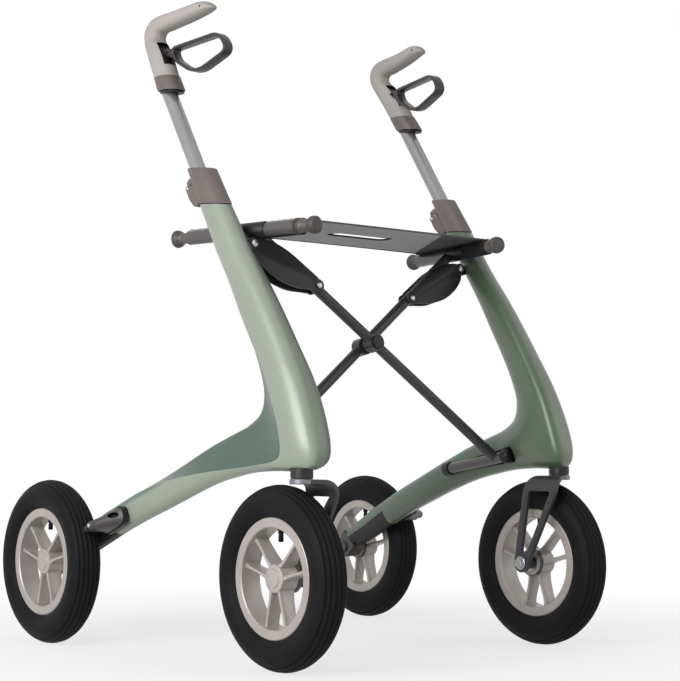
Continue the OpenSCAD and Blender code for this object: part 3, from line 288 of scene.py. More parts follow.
def roundBox(w, t, r, steps):  # section of a band: corners rounded
    out = []
    for cx, cy, a in ((w - r, t - r, 0), (-w + r, t - r, 90), (-w + r, -t + r, 180), (w - r, -t + r, 270)):
        for k in range(steps + 1):
            angle = math.radians(a + 90 * k / steps)
            out.append((cx + r * math.cos(angle), cy + r * math.sin(angle)))
    return out


def linked(name, data):  # an object in the scene
    made = bpy.data.objects.new(name, data)
    scene.collection.objects.link(made)
    return made


def modified(piece, kind, **settings):
    made = piece.modifiers.new(kind.lower(), kind)
    for key, value in settings.items():
        setattr(made, key, value)


def settled(piece):  # modifiers applied
    graph = bpy.context.evaluated_depsgraph_get()
    mesh = bpy.data.meshes.new_from_object(piece.evaluated_get(graph))
    piece.modifiers.clear()
    piece.data = mesh
    return piece


def smoothed(piece, angle=35):
    piece.data.shade_smooth()
    piece.data.set_sharp_from_angle(angle=math.radians(angle))
    return piece


def fromMesh(name, bm, looks):  # looks are finishes by name, with spaces between
    mesh = bpy.data.meshes.new(name)
    bm.to_mesh(mesh)
    bm.free()
    for look in looks.split():
        mesh.materials.append(finishes[look])
    return linked(name, mesh)


def addPiece(name, bm, looks, side=1, angle=35, recalc=True):  # a left side mesh in mm becomes an object
    bmesh.ops.scale(bm, vec=(side * mm, mm, mm), verts=bm.verts)
    if recalc:
        bmesh.ops.recalc_face_normals(bm, faces=bm.faces)
    return smoothed(fromMesh(name, bm, looks), angle)


def onBody(piece, body, slot, *replaced):  # what it rides on, its finish slot (not used) and the solids it stands for
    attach(piece, body)
    if replaced:
        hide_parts(*replaced)
    return piece


def fitted(base, bm, looks, name, body, slot, *replaced, angle=35):  # one side's piece, put on its body
    piece = addPiece(f"{base}_{name}", bm, looks, sides[name], angle)
    body = railBody[name] if body == "rail" else f"{body}_{name}_body"
    return onBody(piece, body, slot, *(f"{node}_{name}" for node in replaced))


def broken(piece, width, segments):  # sharp edges rounded off
    modified(piece, "BEVEL", width=width * mm, segments=segments, limit_method="ANGLE",
             angle_limit=math.radians(32), use_clamp_overlap=True)
    return smoothed(settled(piece), 40)


def softened(name, node, look, slot, width, segments, above=None):  # a solid, or its upper part, edges broken
    bm = bmesh.new()
    bm.from_mesh(nodes[node].data)
    if above:
        bmesh.ops.delete(bm, geom=[v for v in bm.verts if v.co.z < above * mm], context="VERTS")
    bmesh.ops.remove_doubles(bm, verts=bm.verts, dist=2e-6)
    bmesh.ops.dissolve_limit(bm, angle_limit=math.radians(0.6), verts=bm.verts, edges=bm.edges)
    piece = broken(fromMesh(name, bm, look), width, segments)
    return onBody(piece, nodes[node]["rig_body"], slot, *([] if above else [node]))


def carve(piece, bm, side, look, angle=35):  # boolean cut; the cut's own faces take their look
    cutter = addPiece("cutter", bm, look, side)
    modified(piece, "BOOLEAN", operation="DIFFERENCE", solver="EXACT", object=cutter,
             material_mode="TRANSFER")
    settled(piece)
    bpy.data.objects.remove(cutter)
    return smoothed(piece, angle)


# Places shared by the pieces, as the solids have them
place = {"wheelbase": 502, "rise": 533, "frameX": 247, "flare": 39, "thick": 44, "frontY": -251, "axleZ": 127,
         "rearX": 324.98, "frontX": 254.46, "steer": (252.46, -294.0), "tubeFoot": (248.22, -75.075, 658.934),
         "tubeLean": 32.7, "tubeInward": 1.2, "gripAt": 258, "brace": (0, -136, 460.7), "braceTilt": 9.1,
         "braceApart": 14, "hinge": (231.5, 28.9, -177.8), "rail": (209.4, -110.56, 619.5), "railToe": 12.9,
         "loop": (232.873, 61.507, 913.396), "loopToe": 7.5}
toX = Matrix.Rotation(math.pi / 2, 4, "Y")
tubeFoot = Vector(place["tubeFoot"])
tubeMatrix = (Matrix.Translation(tubeFoot) @ Matrix.Rotation(-math.radians(place["tubeInward"]), 4, "Y")
              @ Matrix.Rotation(-math.radians(place["tubeLean"]), 4, "X"))
tubeAxis = tubeMatrix.to_3x3() @ Vector((0, 0, 1))
gripFoot = tubeFoot + tubeAxis * place["gripAt"]
braceMatrix = Matrix.Translation(place["brace"]) @ Matrix.Rotation(-math.radians(place["braceTilt"]), 4, "X")
hingeMatrix = braceMatrix @ Matrix.Translation(place["hinge"]) @ Matrix.Rotation(math.radians(90), 4, "X")
railMid, railToe, railRadius = Vector(place["rail"]), math.radians(place["railToe"]), 10.75
railMatrix = Matrix.Translation(railMid) @ Matrix.Rotation(-railToe, 4, "Z")
loopMatrix = Matrix.Translation(place["loop"]) @ Matrix.Rotation(-math.radians(place["loopToe"]), 4, "Z")
steerMatrix = Matrix.Translation((*place["steer"], 0))

# Side frame: rear edge (y, z, x), front edge (y, z, x) and thickness, in shares of the sizes above, then
# where the crease runs, behind which the outer face is scooped, and the nose's swell towards the middle
frameShell = {"steps": 8, "sides": 64, "square": 0.42, "lip": 0.16, "dish": 0.07, "edgeShare": 0.12,
              "creaseEnd": .97, "scoopShadeRows": (1, 19), "paintedShadeFrom": 116, "paintedShadeSpan": (80, 280),
              "bore": [(12, -178), (12, 40)], "seat": [(17, 200), (17, 276.6)], "recessHalf": 77,
              "recessEnd": [(13.6, -3), (12.8, 0), (10.8, 2.4), (7.0, 4.2), (0.6, 5)], "rows": [
    (.392, 1.002, .06, .283, .994, -.10, .73, .97, 0), (.309, .874, .09, .195, .872, -.13, .77, .97, .08),
    (.239, .775, .10, .116, .775, -.12, .80, .93, .18), (.185, .689, .11, .050, .687, -.11, .82, .82, .28),
    (.133, .606, .13, -.012, .598, -.10, .84, .62, .36), (.094, .535, .16, -.064, .520, -.08, .89, .40, .44),
    (.074, .482, .19, -.100, .452, -.05, .93, .28, .50), (.076, .443, .21, -.127, .388, -.02, .98, .10, .52),
    (.092, .417, .23, -.143, .332, .00, 1.0, -.07, .52), (.118, .400, .25, -.139, .295, .02, 1.0, -.24, .48),
    (.149, .386, .26, -.114, .276, .07, 1.0, -.40, .32), (.181, .376, .28, -.058, .272, .14, 1.0, -.54, .12),
    (.215, .366, .29, .022, .272, .24, .98, -.65, 0), (.257, .353, .30, .110, .267, .30, .93, -.68, 0),
    (.305, .338, .31, .197, .254, .33, .89, -.55, 0), (.369, .315, .33, .291, .235, .34, .84, -.27, 0),
    (.452, .283, .35, .400, .203, .37, .82, .18, 0), (.548, .246, .42, .508, .167, .45, .80, .62, 0),
    (.661, .205, .57, .624, .128, .60, .77, .92, 0), (.753, .169, .70, .715, .094, .72, .73, .97, 0),
    (.839, .133, .82, .801, .058, .83, .68, .97, 0), (.914, .098, .93, .870, .029, .93, .64, .97, 0),
    (1.000, .056, 1.0, .945, .006, .98, .59, .97, 0)]}


def frameStation(row):
    edge = [Vector((place["frameX"] + row[i + 2] * place["flare"],
                    place["frontY"] + row[i] * place["wheelbase"],
                    place["axleZ"] + row[i + 1] * place["rise"])) for i in (0, 3)]
    return edge[0], edge[1], row[6] * place["thick"] / 2


def frameRing(row):
    rear, front, half = frameStation(row)
    crease, swell = min(row[7], frameShell["creaseEnd"]), max(row[8], 0)
    mid, arm = (rear + front) / 2, (rear - front) / 2
    split = math.acos(math.copysign(abs(crease) ** (1 / flatness), crease))
    proud = math.sin(split) ** flatness
    quarter = frameShell["sides"] // 4
    ring = []
    for j, a in enumerate(circle(frameShell["sides"])):
        if j <= quarter:
            a = split * j / quarter
        elif j <= 2 * quarter:
            a = split + (math.pi - split) * (j - quarter) / quarter
        cornered = math.sin(a) < 0 and math.cos(a) < 0  # the inner front corner is squarer
        c, n = squared(a, flatness - frameShell["square"] * min(1, 2 * swell) * cornered)
        if j < quarter:
            t = (c - crease) / (1 - crease)
            scoop = proud + (frameShell["lip"] - proud) * t - frameShell["dish"] * 4 * t * (1 - t)
            end = max(0, (t - 1 + frameShell["edgeShare"]) / frameShell["edgeShare"])
            n = min(n, scoop * math.sqrt(max(0, 1 - end * end)))
        ring.append(mid + arm * c + Vector((half * n * (1 + swell * (n < 0)), 0, 0)))
    return ring


for name, side in sides.items():
    rings = [frameRing(r) for r in spline(frameShell["rows"], frameShell["steps"])]
    bm = skin(rings)
    count = frameShell["sides"]
    low, high = (count * k // 360 for k in frameShell["paintedShadeSpan"])
    first, last = (frameShell["steps"] * k for k in frameShell["scoopShadeRows"])
    for i, ring in enumerate(rings[:-1]):
        if first <= i < last:  # painted shade: the darker copy of the lacquer in the scoop
            for j in range(count // 4):
                bm.faces[i * count + j].material_index = 2
        if ring[count // 2].y > frameShell["paintedShadeFrom"]:  # black over the lower end of the arm under the brake shoe: painted shade
            for j in range(low, high):
                bm.faces[i * count + j].material_index = 1
    shell = fitted("frame_shell", bm, "pearl black scoop", name, "frame", "pearl_frame", "frame")
    half, end = frameShell["recessHalf"], frameShell["recessEnd"]
    recess = [(r, -half - h) for r, h in reversed(end)] + [(r, half + h) for r, h in end]
    cuts = (frameShell["bore"], tubeMatrix), (recess, hingeMatrix), (frameShell["seat"], steerMatrix)
    # Each cut's walls turn black; round the hinge barrel this black is painted shade in the recess
    for profile, at in cuts:
        carve(shell, turned(profile, 48, at), side, "black")
print("side frames")

# Clamp collar: follows the tube, flat below and above, with a dark seam to the frame
collar = {"rise": 59, "proud": 1.0, "taper": 0.1, "edge": 1.8, "bore": 11.7, "seam": 1.3, "sides": 64,
          "seamInset": -0.9}
# Clamp: a fixed ear between the two cheeks of a lever that a web joins below, in the tube's own (y, z)
clamp = {"half": 8, "tongue": 3.6, "play": 0.5, "rivet": (29.4, 54.7), "round": 3.2,
         "rivetHead": [(2.7, -0.5), (2.7, 0.3), (2.0, 0.8), (0.7, 1.0)],
         "ear": [(11.5, 42), (11.5, 66), (22, 69.5), (31, 69.5), (33.6, 60), (32.6, 52), (27, 43)],
         "cheek": [(15.2, 51), (16.2, 57.4), (20, 59.4), (26, 59.6), (34, 58), (33.6, 48), (34.2, 38),
                   (29.6, 20.5), (23, 15.5), (16.5, 16.5), (14.6, 24)],
         "web": [(14.6, 31), (34.0, 31), (29.6, 20.5), (23, 15.5), (16.5, 16.5), (14.6, 24)]}


def extruded(outline, spans, bm=None):  # an outline in the tube's (y, z), rounded and drawn across its x
    bm = bm or bmesh.new()
    ring = bezierRound([Vector(p) for p in outline], clamp["round"], 4)
    for span in spans:
        skin([[tubeMatrix @ Vector((x, p.x, p.y)) for p in ring] for x in span], bm=bm)
    return bm


def collarRing(h, grow):  # the frame's top section, moved up along the tube
    rear, front, half = frameStation(frameShell["rows"][0])
    shift = tubeAxis * (h / tubeAxis.z)
    k = 1 - collar["taper"] * max(h, 0) / collar["rise"]
    mid = (rear + front) / 2
    ring = oval(mid + (rear - mid) * k, mid + (front - mid) * k, half * k, collar["sides"], grow)
    return [p + shift for p in ring]


def tubeRing(h, radius):  # a level cut through the tube's bore
    mid = tubeFoot + tubeAxis * (h / tubeAxis.z)
    return [mid + Vector((radius * math.sin(a), radius / tubeAxis.z * math.cos(a), 0))
            for a in circle(collar["sides"])]


for name, side in sides.items():
    top, edge, proud, low, bore = (collar[k] for k in ("rise", "edge", "proud", "seam", "bore"))
    rings = [collarRing(h, grow) for h, grow in (
        (low, 0.0), (low + 0.8, proud), (12, proud), (24, proud), (36, proud), (top - edge, proud),
        (top - edge * 0.3, proud - edge * 0.35), (top, proud - edge))]
    rings += [tubeRing(h, r) for h, r in ((top, bore + 0.6), (top - 1, bore), (2, bore))]
    fitted("clamp_collar_shell", skin(rings, True), "taupe", name, "frame", "taupe_plastic", "clamp_collar")
    seam = [collarRing(h, collar["seamInset"]) for h in (-low, low + 0.4)]
    seam += [tubeRing(h, bore) for h in (low + 0.4, -low)]
    fitted("collar_seam", skin(seam, True), "black", name, "frame", "black_plastic")
    ear = extruded(clamp["ear"], ((-clamp["tongue"], clamp["tongue"]),))
    broken(fitted("clamp_ear", ear, "taupe", name, "frame", "taupe_plastic"), 1.2, 3)
    gap, half = clamp["tongue"] + clamp["play"], clamp["half"]
    lever = extruded(clamp["cheek"], ((-half, -gap), (gap, half)))
    extruded(clamp["web"], ((-gap - 1, gap + 1),), lever)
    lever = fitted("clamp_lever_shell", lever, "taupe", name, "clamp_lever", "taupe_plastic", "clamp_lever")
    broken(lever, 1.4, 3)
    for e, tag in ((-1, "in"), (1, "out")):  # bright heads of a spring pin through the lever
        head = turned(clamp["rivetHead"], 20, tubeMatrix @ Matrix.Translation((e * half, *clamp["rivet"]))
                      @ Matrix.Rotation(e * math.pi / 2, 4, "Y"))
        head = addPiece(f"clamp_rivet_{name}_{tag}", head, "steel", side)
        onBody(head, f"clamp_lever_{name}_body", "steel")
print("clamp collars")

# Grip: edges and thickness in shares of its reach, rise, inward turn and width
grip = {"reach": 140, "rise": 110, "turn": 30, "width": 36, "steps": 8, "sides": 48, "rows": [
    (.088, -.045, .04, -.224, -.045, .04, .95), (.212, .200, .13, -.082, .264, .13, .94),
    (.314, .400, .23, .046, .464, .23, .92), (.390, .582, .32, .142, .570, .32, .89),
    (.392, .745, .37, .164, .635, .37, .89), (.312, .868, .41, .118, .672, .41, .89),
    (.176, .916, .46, .028, .680, .46, .92), (-.016, .928, .54, -.090, .702, .54, .92),
    (-.188, .938, .64, -.216, .724, .64, .92), (-.340, .956, .76, -.366, .755, .76, .90),
    (-.470, .972, .87, -.500, .790, .87, .86), (-.575, .950, .93, -.607, .820, .93, .70),
    (-.632, .900, .98, -.658, .843, .98, .40)],
    "sleeveHead": (.090, -.032, .045, -.224, -.032, .045, .97),
    "sleeveFoot": (-.006, -.236, -.03, -.352, -.262, -.03, 1.0), "lip": 2.6, "sleeveShadeDepth": 5.4, "sleeveShadeInset": 2.2,
    "pocket": (17, 55), "pocketHalf": 4, "pocketDeep": 8, "ventRow": -12, "vent": [(1.5, -1.5), (1.5, 1.5)],
    "dome": ((0.82, 1.2), (0.5, 2.2), (0.2, 2.6)),
    "pin": [(1.4, -10.8), (2.4, -10.2), (2.4, 10.2), (1.4, 10.8)]}


def gripStation(row):
    edge = [gripFoot + Vector((-row[i + 2] * grip["turn"], row[i] * grip["reach"], row[i + 1] * grip["rise"]))
            for i in (0, 3)]
    return edge[0], edge[1], row[6] * grip["width"] / 2


def between(a, b, t):  # a table row between two others
    return [p + (q - p) * t for p, q in zip(a, b)]


for name, side in sides.items():
    count = grip["sides"]
    front, spread = count // 2, grip["pocketHalf"]
    rows = spline(grip["rows"], grip["steps"])
    rings = [oval(*gripStation(r), count) for r in rows]
    low, high = (gripFoot.z + h for h in grip["pocket"])
    sunk = [i for i, ring in enumerate(rings[:4 * grip["steps"]]) if low < ring[front].z < high]
    for i in sunk:  # pocket for the brake loop's stalk
        for j in range(front - spread, front + spread + 1):
            rings[i][j] = rings[i][j] + Vector((0, grip["pocketDeep"], 0))
    tip = rings[-1]
    run = (tip[0] + tip[front] - rings[-3][0] - rings[-3][front]).normalized()
    mid = sum(tip, Vector()) / count
    for k, ahead in grip["dome"]:  # the tip closes in a small dome
        rings.append([mid + (p - mid) * k + run * ahead for p in tip])
    bm = skin(rings)
    for i in range(sunk[0] - 1, sunk[-1] + 1):
        for j in range(front - spread - 1, front + spread + 1):
            bm.faces[i * count + j].material_index = 1
    piece = fitted("grip_shell", bm, "grip black", name, "handle", "grip_rubber", "grip", angle=50)
    rear, fore, half = gripStation(rows[grip["ventRow"]])
    for e in (-1, 1):  # small moulded vents near the tip
        at = Matrix.Translation(rear * 0.5 + fore * 0.5 + Vector((e * half * 0.985, 0, -1))) @ toX
        carve(piece, turned(grip["vent"], 20, at), side, "dark", 50)
    foot, lip = grip["sleeveFoot"], grip["lip"]
    sleeve = skin([oval(*gripStation(between(foot, grip["sleeveHead"], t)), count, grow) for t, grow in (
        (1, 0.5), (.9, 0.5), (.06, 0.5), (0, 0.0), (0, -lip), (.5, -lip - 1))])
    for face in sleeve.faces[count * 4:count * 5] + [sleeve.faces[-1]]:  # black inside: painted shade in the open end
        face.material_index = 1
    fitted("grip_sleeve_shell", sleeve, "taupe black", name, "handle", "taupe_plastic", "grip_sleeve",
           angle=40)
    # black ring in the sleeve's open end: painted shade
    deep = grip["sleeveShadeDepth"]
    sleeveShadeDepth = [[p + tubeAxis * h for p in oval(*gripStation(foot), count, -grip["sleeveShadeInset"] + d)]
             for h, d in ((8, 0), (-deep + 1, 0), (-deep, -1), (-deep, -6))]
    fitted("grip_sleeve_shade", skin(sleeveShadeDepth), "black", name, "handle", "black_plastic", angle=40)
    fitted("lever_pin", turned(grip["pin"], 20, loopMatrix @ toX), "black", name, "handle", "black_plastic",
           "lever_mount")
print("grips")

# Brake loop: a rounded band swept round its outline, on a short stalk (ahead, half width, half height)
brakeLoop = {"length": 134, "height": 57, "bandWidth": 18, "bandThick": 5.2, "round": 24, "edge": 1.9,
             "inset": 3.2,
             "corners": [(-.06, .085), (-.895, .22), (-1.037, -.31), (-.478, -.80), (-.12, -.27)],
             "stalk": [(-5.5, 7.0, 4.0), (-4.0, 7.6, 6.0), (0, 7.8, 6.8), (6, 7.6, 7.0), (11, 7.2, 7.6),
                       (14.5, 6.8, 8.6)], "stalkFall": -0.31, "stalkEdge": 2.6}
for name in sides:
    corners = [Vector((p[0] * brakeLoop["length"], p[1] * brakeLoop["height"])) for p in brakeLoop["corners"]]
    mid = sum(corners, Vector((0, 0))) / len(corners)
    middle = [p + (mid - p).normalized() * brakeLoop["inset"] for p in corners]  # of the band's thickness
    path = bezierRound(middle, brakeLoop["round"], 9)
    section = roundBox(brakeLoop["bandWidth"] / 2, brakeLoop["bandThick"] / 2, brakeLoop["edge"], 3)
    rings = []
    for i, p in enumerate(path):
        along = (path[(i + 1) % len(path)] - path[i - 1]).normalized()
        out = Vector((along.y, -along.x))
        rings.append([loopMatrix @ Vector((x, p.x + out.x * d, p.y + out.y * d)) for x, d in section])
    bm = skin(rings, True)
    skin([[loopMatrix @ Vector((x, -d, brakeLoop["stalkFall"] * max(d, 0) + z))
           for x, z in roundBox(w, h, brakeLoop["stalkEdge"], 3)] for d, w, h in brakeLoop["stalk"]], bm=bm)
    fitted("brake_loop", bm, "loop", name, "brake_lever", "loop_plastic", "brake_lever", angle=50)
print("brake loops")

# Wheels: ribbed tyre, flanged rim, three twin spokes cast as deep S-shaped blades
wheel = {"tyreMid": 102, "tyreRadius": 25, "ribs": 6, "grooveDepth": 1.9, "treadHalf": 52, "steps": 120,
         "sideLine": (74, 84), "sideLineHigh": 0.5, "seat": 83.4, "seatHalf": 13.9,
         "inner": 73.4, "innerHalf": 13.7,
         "rimRing": [(69, -15.6), (70.4, -17), (81.6, -17), (83, -15.8), (83, -14.4), (82.4, -14),
                     (74.5, -14), (73, -12.5)],
         "hub": [(14, -19), (14, -22), (19, -22), (20, -21), (20, 10.5), (19.2, 12.2), (17.6, 13), (13.6, 13),
                 (13, 13.6), (12.6, 14.6), (11.4, 15)],
         "seal": [(14.2, -21.6), (20.4, -21.6), (21, -21), (21, -15), (20.2, -14.2), (14.2, -14.2)],
         "valve": [(3.0, -1), (4.0, -0.4), (4.0, 8), (3.1, 9), (3.1, 10), (3.6, 10.6), (3.6, 18.6),
                   (3.0, 19.6)],
         "valveAt": (-68.6, 0, 0), "blade": 4.6, "fillet": 4.0, "spokeSteps": 16, "bladeEdge": 1.5,
         "bladeTop": (11.6, -2.6, 1.6), "bladeFoot": (-15, 5, -2.5),
         "curve": [(11, 9.0), (30, 8.6), (47, 19.0), (69.6, 21.8)]}


def tyreProfile():
    r, mid, half = wheel["tyreRadius"], wheel["tyreMid"], wheel["treadHalf"]
    out = [(wheel["inner"], -wheel["innerHalf"]), (wheel["seat"], -wheel["seatHalf"])]
    bead = 90 + math.degrees(math.asin((mid - wheel["seat"]) / r))
    count = wheel["ribs"] * 14
    angles = [-bead + (bead - half) * k / 10 for k in range(10)]
    angles += [-half + 2 * half * k / count for k in range(count + 1)]
    angles += [half + (bead - half) * k / 10 for k in range(1, 11)]
    for a in angles:
        q = r
        if abs(a) <= half:
            wave = math.sin(math.pi / 2 * wheel["ribs"] * (a + half) / half) ** 6
            q -= wheel["grooveDepth"] * min(1, 1.5 * wave)
        elif wheel["sideLine"][0] < abs(a) < wheel["sideLine"][1]:  # a low line moulded round the sidewall
            q += wheel["sideLineHigh"]
        out.append((mid + q * math.cos(math.radians(a)), q * math.sin(math.radians(a))))
    return out + [(wheel["seat"], wheel["seatHalf"]), (wheel["inner"], wheel["innerHalf"])]


def bladePoint(t):  # cubic curve of a spoke's middle line
    a, b, c, d = (Vector(p) for p in wheel["curve"])
    s = 1 - t
    return a * s ** 3 + b * 3 * s * s * t + c * 3 * s * t * t + d * t ** 3


def addSpokes(bm, matrix):
    for pair in range(3):
        turn = matrix @ Matrix.Rotation(math.radians(120 * pair), 4, "Z")
        for e in (-1, 1):
            rings = []
            for k in range(wheel["spokeSteps"] + 1):
                t = k / wheel["spokeSteps"]
                p, ahead = bladePoint(t), bladePoint(min(t + .02, 1)) - bladePoint(max(t - .02, 0))
                out = Vector((-ahead.y, ahead.x)).normalized()
                w = wheel["blade"] / 2 + wheel["fillet"] / 2 * ((1 - t) ** 7 + t ** 9)
                high, low = (a + b * t + c * t ** 6 for a, b, c in (wheel["bladeTop"], wheel["bladeFoot"]))
                rings.append([turn @ Vector((p.x + out.x * x, e * (p.y + out.y * x), (high + low) / 2 + z))
                              for x, z in roundBox(w, (high - low) / 2, wheel["bladeEdge"], 2)])
            skin(rings, bm=bm)


for end, x, y in (("front", place["frontX"], place["frontY"]), ("rear", place["rearX"], -place["frontY"])):
    for name, side in sides.items():
        hubMatrix = Matrix.Translation((x, y, place["axleZ"])) @ toX
        body = f"{end}_wheel_{name}_body"
        bm = turned(tyreProfile(), wheel["steps"], hubMatrix, True)
        turned(wheel["valve"], 20, hubMatrix @ Matrix.Translation(wheel["valveAt"]) @ toX, False, bm)
        tyre = addPiece(f"{end}_tyre_{name}_ribbed", bm, "tyre", side, 40)
        onBody(tyre, body, "tyre_rubber", f"{end}_tyre_{name}")
        ring = wheel["rimRing"] + [(r, -h) for r, h in reversed(wheel["rimRing"])]  # same on both sides
        bm = turned(ring, wheel["steps"], hubMatrix, True)
        turned(wheel["hub"], 64, hubMatrix, False, bm)
        addSpokes(bm, hubMatrix)
        rim = addPiece(f"{end}_rim_{name}_cast", bm, "rim", side, 38)
        onBody(rim, body, "rim_alloy", f"{end}_rim_{name}")
        fitted(f"{end}_hub_seal", turned(wheel["seal"], 56, hubMatrix, True), "dark", name, f"{end}_wheel",
               "black_plastic")
print("wheels")

# Caster fork: one bent plate, from the crown ring over a rounded bend into a blade with two legs
fork = {"thick": 6, "bend": 19, "crownZ": 258.4, "bladeX": 214.46, "crownRadius": 15, "topHalf": 36,
        "shoulder": 22, "shoulderRound": 26, "endRadius": 14.5, "edge": 1.9, "bore": 6, "windowTop": 238,
        "windowFoot": 143, "windowRound": 6, "leg": 11.5,
        "ring": [(6, 255.0), (15.6, 255.0), (16.7, 256.0), (16.7, 261.2), (15.8, 262.2), (6, 262.2)],
        "stem": [(5.0, 259), (5.9, 260), (5.9, 299), (5.0, 300)],
        "boss": [(6.2, 2.5), (10.4, 2.5), (10.4, 10), (9.4, 11), (9.4, 17.2), (6.2, 17.6)],
        "washer": [(3, -3.4), (9.6, -3.4), (10, -3.8), (10, -5.0), (9.4, -5.4), (7.6, -5.5), (3, -5.5)],
        "hexHead": [(8.0, -5.3), (8.2, -5.8), (8.2, -9.4), (7.3, -10.4), (1, -10.6)]}


def bentPlate():
    steerX, steerY = place["steer"]
    start = steerX + fork["crownRadius"]  # unrolled from the crown's outer end
    flat = start - fork["bladeX"] - fork["bend"]
    arc = fork["bend"] * math.pi / 2
    zTop = fork["crownZ"] - fork["bend"]
    foot, top, axleAt = (flat + arc + zTop - z for z in (
        fork["windowFoot"], fork["windowTop"], place["axleZ"]))
    axle = Vector((axleAt, place["frontY"]))
    r, half, tail = fork["crownRadius"], fork["topHalf"], fork["endRadius"]
    outline = [Vector((r * (1 - math.cos(a)), steerY + r * math.sin(a)))
               for a in (math.radians(-90 + 180 * k / 20) for k in range(21))]
    rear, front = ([Vector((r, steerY + e * r)), Vector((flat + fork["shoulder"], steerY + e * half)),
                    Vector((axle.x, axle.y + e * tail))] for e in (1, -1))
    mid = [Vector((r, steerY))]
    outline += bezierRound(rear + mid, fork["shoulderRound"], 10)[11:22]
    outline += [axle + tail * Vector((math.sin(a), math.cos(a)))
                for a in (math.radians(180 * k / 16) for k in range(17))]
    outline += bezierRound(front[::-1] + mid, fork["shoulderRound"], 10)[11:22]
    window = []
    for (a, b), e in ((rear[1:], -1), (front[1:], 1)):  # inner edges run beside the legs
        aside = Vector((0, e * fork["leg"]))
        pair = [a + (b - a) * ((x - a.x) / (b.x - a.x)) + aside for x in (top, foot)]
        window += pair if e < 0 else pair[::-1]
    window = bezierRound(window, fork["windowRound"], 6)
    hole = [axle + fork["bore"] * Vector((math.cos(a), math.sin(a))) for a in circle(24)]
    bm = bmesh.new()
    for ring in (outline, window, hole):
        verts = [bm.verts.new((p.x, p.y, 0)) for p in ring]
        for i, v in enumerate(verts):
            if (v.co - verts[i - 1].co).length > 1e-5:
                bm.edges.new((verts[i - 1], v))
    bmesh.ops.remove_doubles(bm, verts=bm.verts, dist=1e-4)
    bmesh.ops.triangle_fill(bm, use_beauty=True, use_dissolve=False, edges=bm.edges)
    for k in range(13):  # cut across, then rolled round the bend
        bmesh.ops.bisect_plane(bm, geom=bm.verts[:] + bm.edges[:] + bm.faces[:],
                               plane_co=(flat + arc * k / 12, 0, 0), plane_no=(1, 0, 0))
    for v in bm.verts:
        s, y = v.co.x, v.co.y
        if s <= flat:
            v.co = (start - s, y, fork["crownZ"])
        elif s <= flat + arc:
            a = (s - flat) / fork["bend"]
            v.co = (fork["bladeX"] + fork["bend"] * (1 - math.sin(a)), y, zTop + fork["bend"] * math.cos(a))
        else:
            v.co = (fork["bladeX"], y, zTop - (s - flat - arc))
    return bm


for name in sides:
    piece = fitted("fork_plate", bentPlate(), "gunmetal edge", name, "caster", "gunmetal", "fork")
    modified(piece, "SOLIDIFY", thickness=fork["thick"] * mm, offset=0, use_even_offset=True)
    # the bevels take the bright finish: a painted highlight on the edges
    modified(piece, "BEVEL", width=fork["edge"] * mm, segments=3, limit_method="ANGLE",
             angle_limit=math.radians(50), material=1)
    smoothed(settled(piece), 40)
    axleMatrix = Matrix.Translation((fork["bladeX"], place["frontY"], place["axleZ"])) @ toX
    fitted("fork_boss", turned(fork["boss"], 40, axleMatrix, True), "gunmetal", name, "caster", "gunmetal")
    stem = turned(fork["stem"], 32, steerMatrix)
    turned(fork["ring"], 48, steerMatrix, True, stem)
    fitted("fork_crown", stem, "edge", name, "caster", "gunmetal")
    bolt = turned(fork["washer"], 40, axleMatrix, True)
    turned(fork["hexHead"], 6, axleMatrix, False, bolt)
    fitted("axle_bolt", bolt, "steel", name, "caster", "steel", "front_axle", angle=25)

# Steering housing under the nose, in a dark seat
housing = [(8.4, 262.6), (14.6, 262.6), (15.5, 263.6), (15.6, 270), (15.3, 276)]
for name in sides:
    fitted("steer_housing_shell", turned(housing, 48, steerMatrix), "plate", name, "frame", "gunmetal",
           "steer_housing", angle=40)
print("casters")

# Rear end: plug, axle and brake body, edges broken
for name in sides:
    softened(f"arm_plug_shell_{name}", f"arm_plug_{name}", "dark", "dark_plastic", 3.0, 4)
    softened(f"brake_body_shell_{name}", f"brake_body_{name}", "black", "dark_plastic", 2.5, 4)
    softened(f"rear_axle_shell_{name}", f"rear_axle_{name}", "dark", "steel", 1.0, 3)
print("rear ends")

# Brake shoe: a horn that runs from the brake body out over the tyre, with an oval well on its front
horn = {"from": 297.28, "mid": (111.69, 194.04), "slope": -22.1, "half": (31, 14),
        "tip": (332.3, 114.88, 187.6), "tipRadius": 7, "steps": 14, "sides": 48,
        "wellAt": (308.4, 94.0, 203.4), "wellAxis": (.66, -.6, .46), "wellLong": (-.69, -.71, .06),
        "wellSize": (9, 5), "wellDepth": 11, "tipAngles": (20, 40, 58, 74, 86),
        "pin": [(3.4, -1.5), (3.4, 0.1), (2.6, 0.7), (0.8, 1.0)], "bar": (127.67, 181.9),
        "barRod": [(1, 0), (4, 0.2), (5, 1.2), (5, 38.4), (3.6, 39.8), (1, 40)]}


def hornRing(t):  # t 0 at the brake body, 1 at the tip's middle
    tip = Vector(horn["tip"])
    foot = Vector((horn["from"], *horn["mid"]))
    mid = foot + (tip - foot) * t
    slope = math.radians(horn["slope"])
    ring = []
    for a in circle(horn["sides"]):
        share = squared(a, 0.62 + 0.38 * t)  # boxy at the body, round at the tip
        u, v = ((h + (horn["tipRadius"] - h) * t ** 0.85) * q for h, q in zip(horn["half"], share))
        ring.append(mid + Vector((0, u * math.cos(slope) - v * math.sin(slope),
                                  u * math.sin(slope) + v * math.cos(slope))))
    return ring


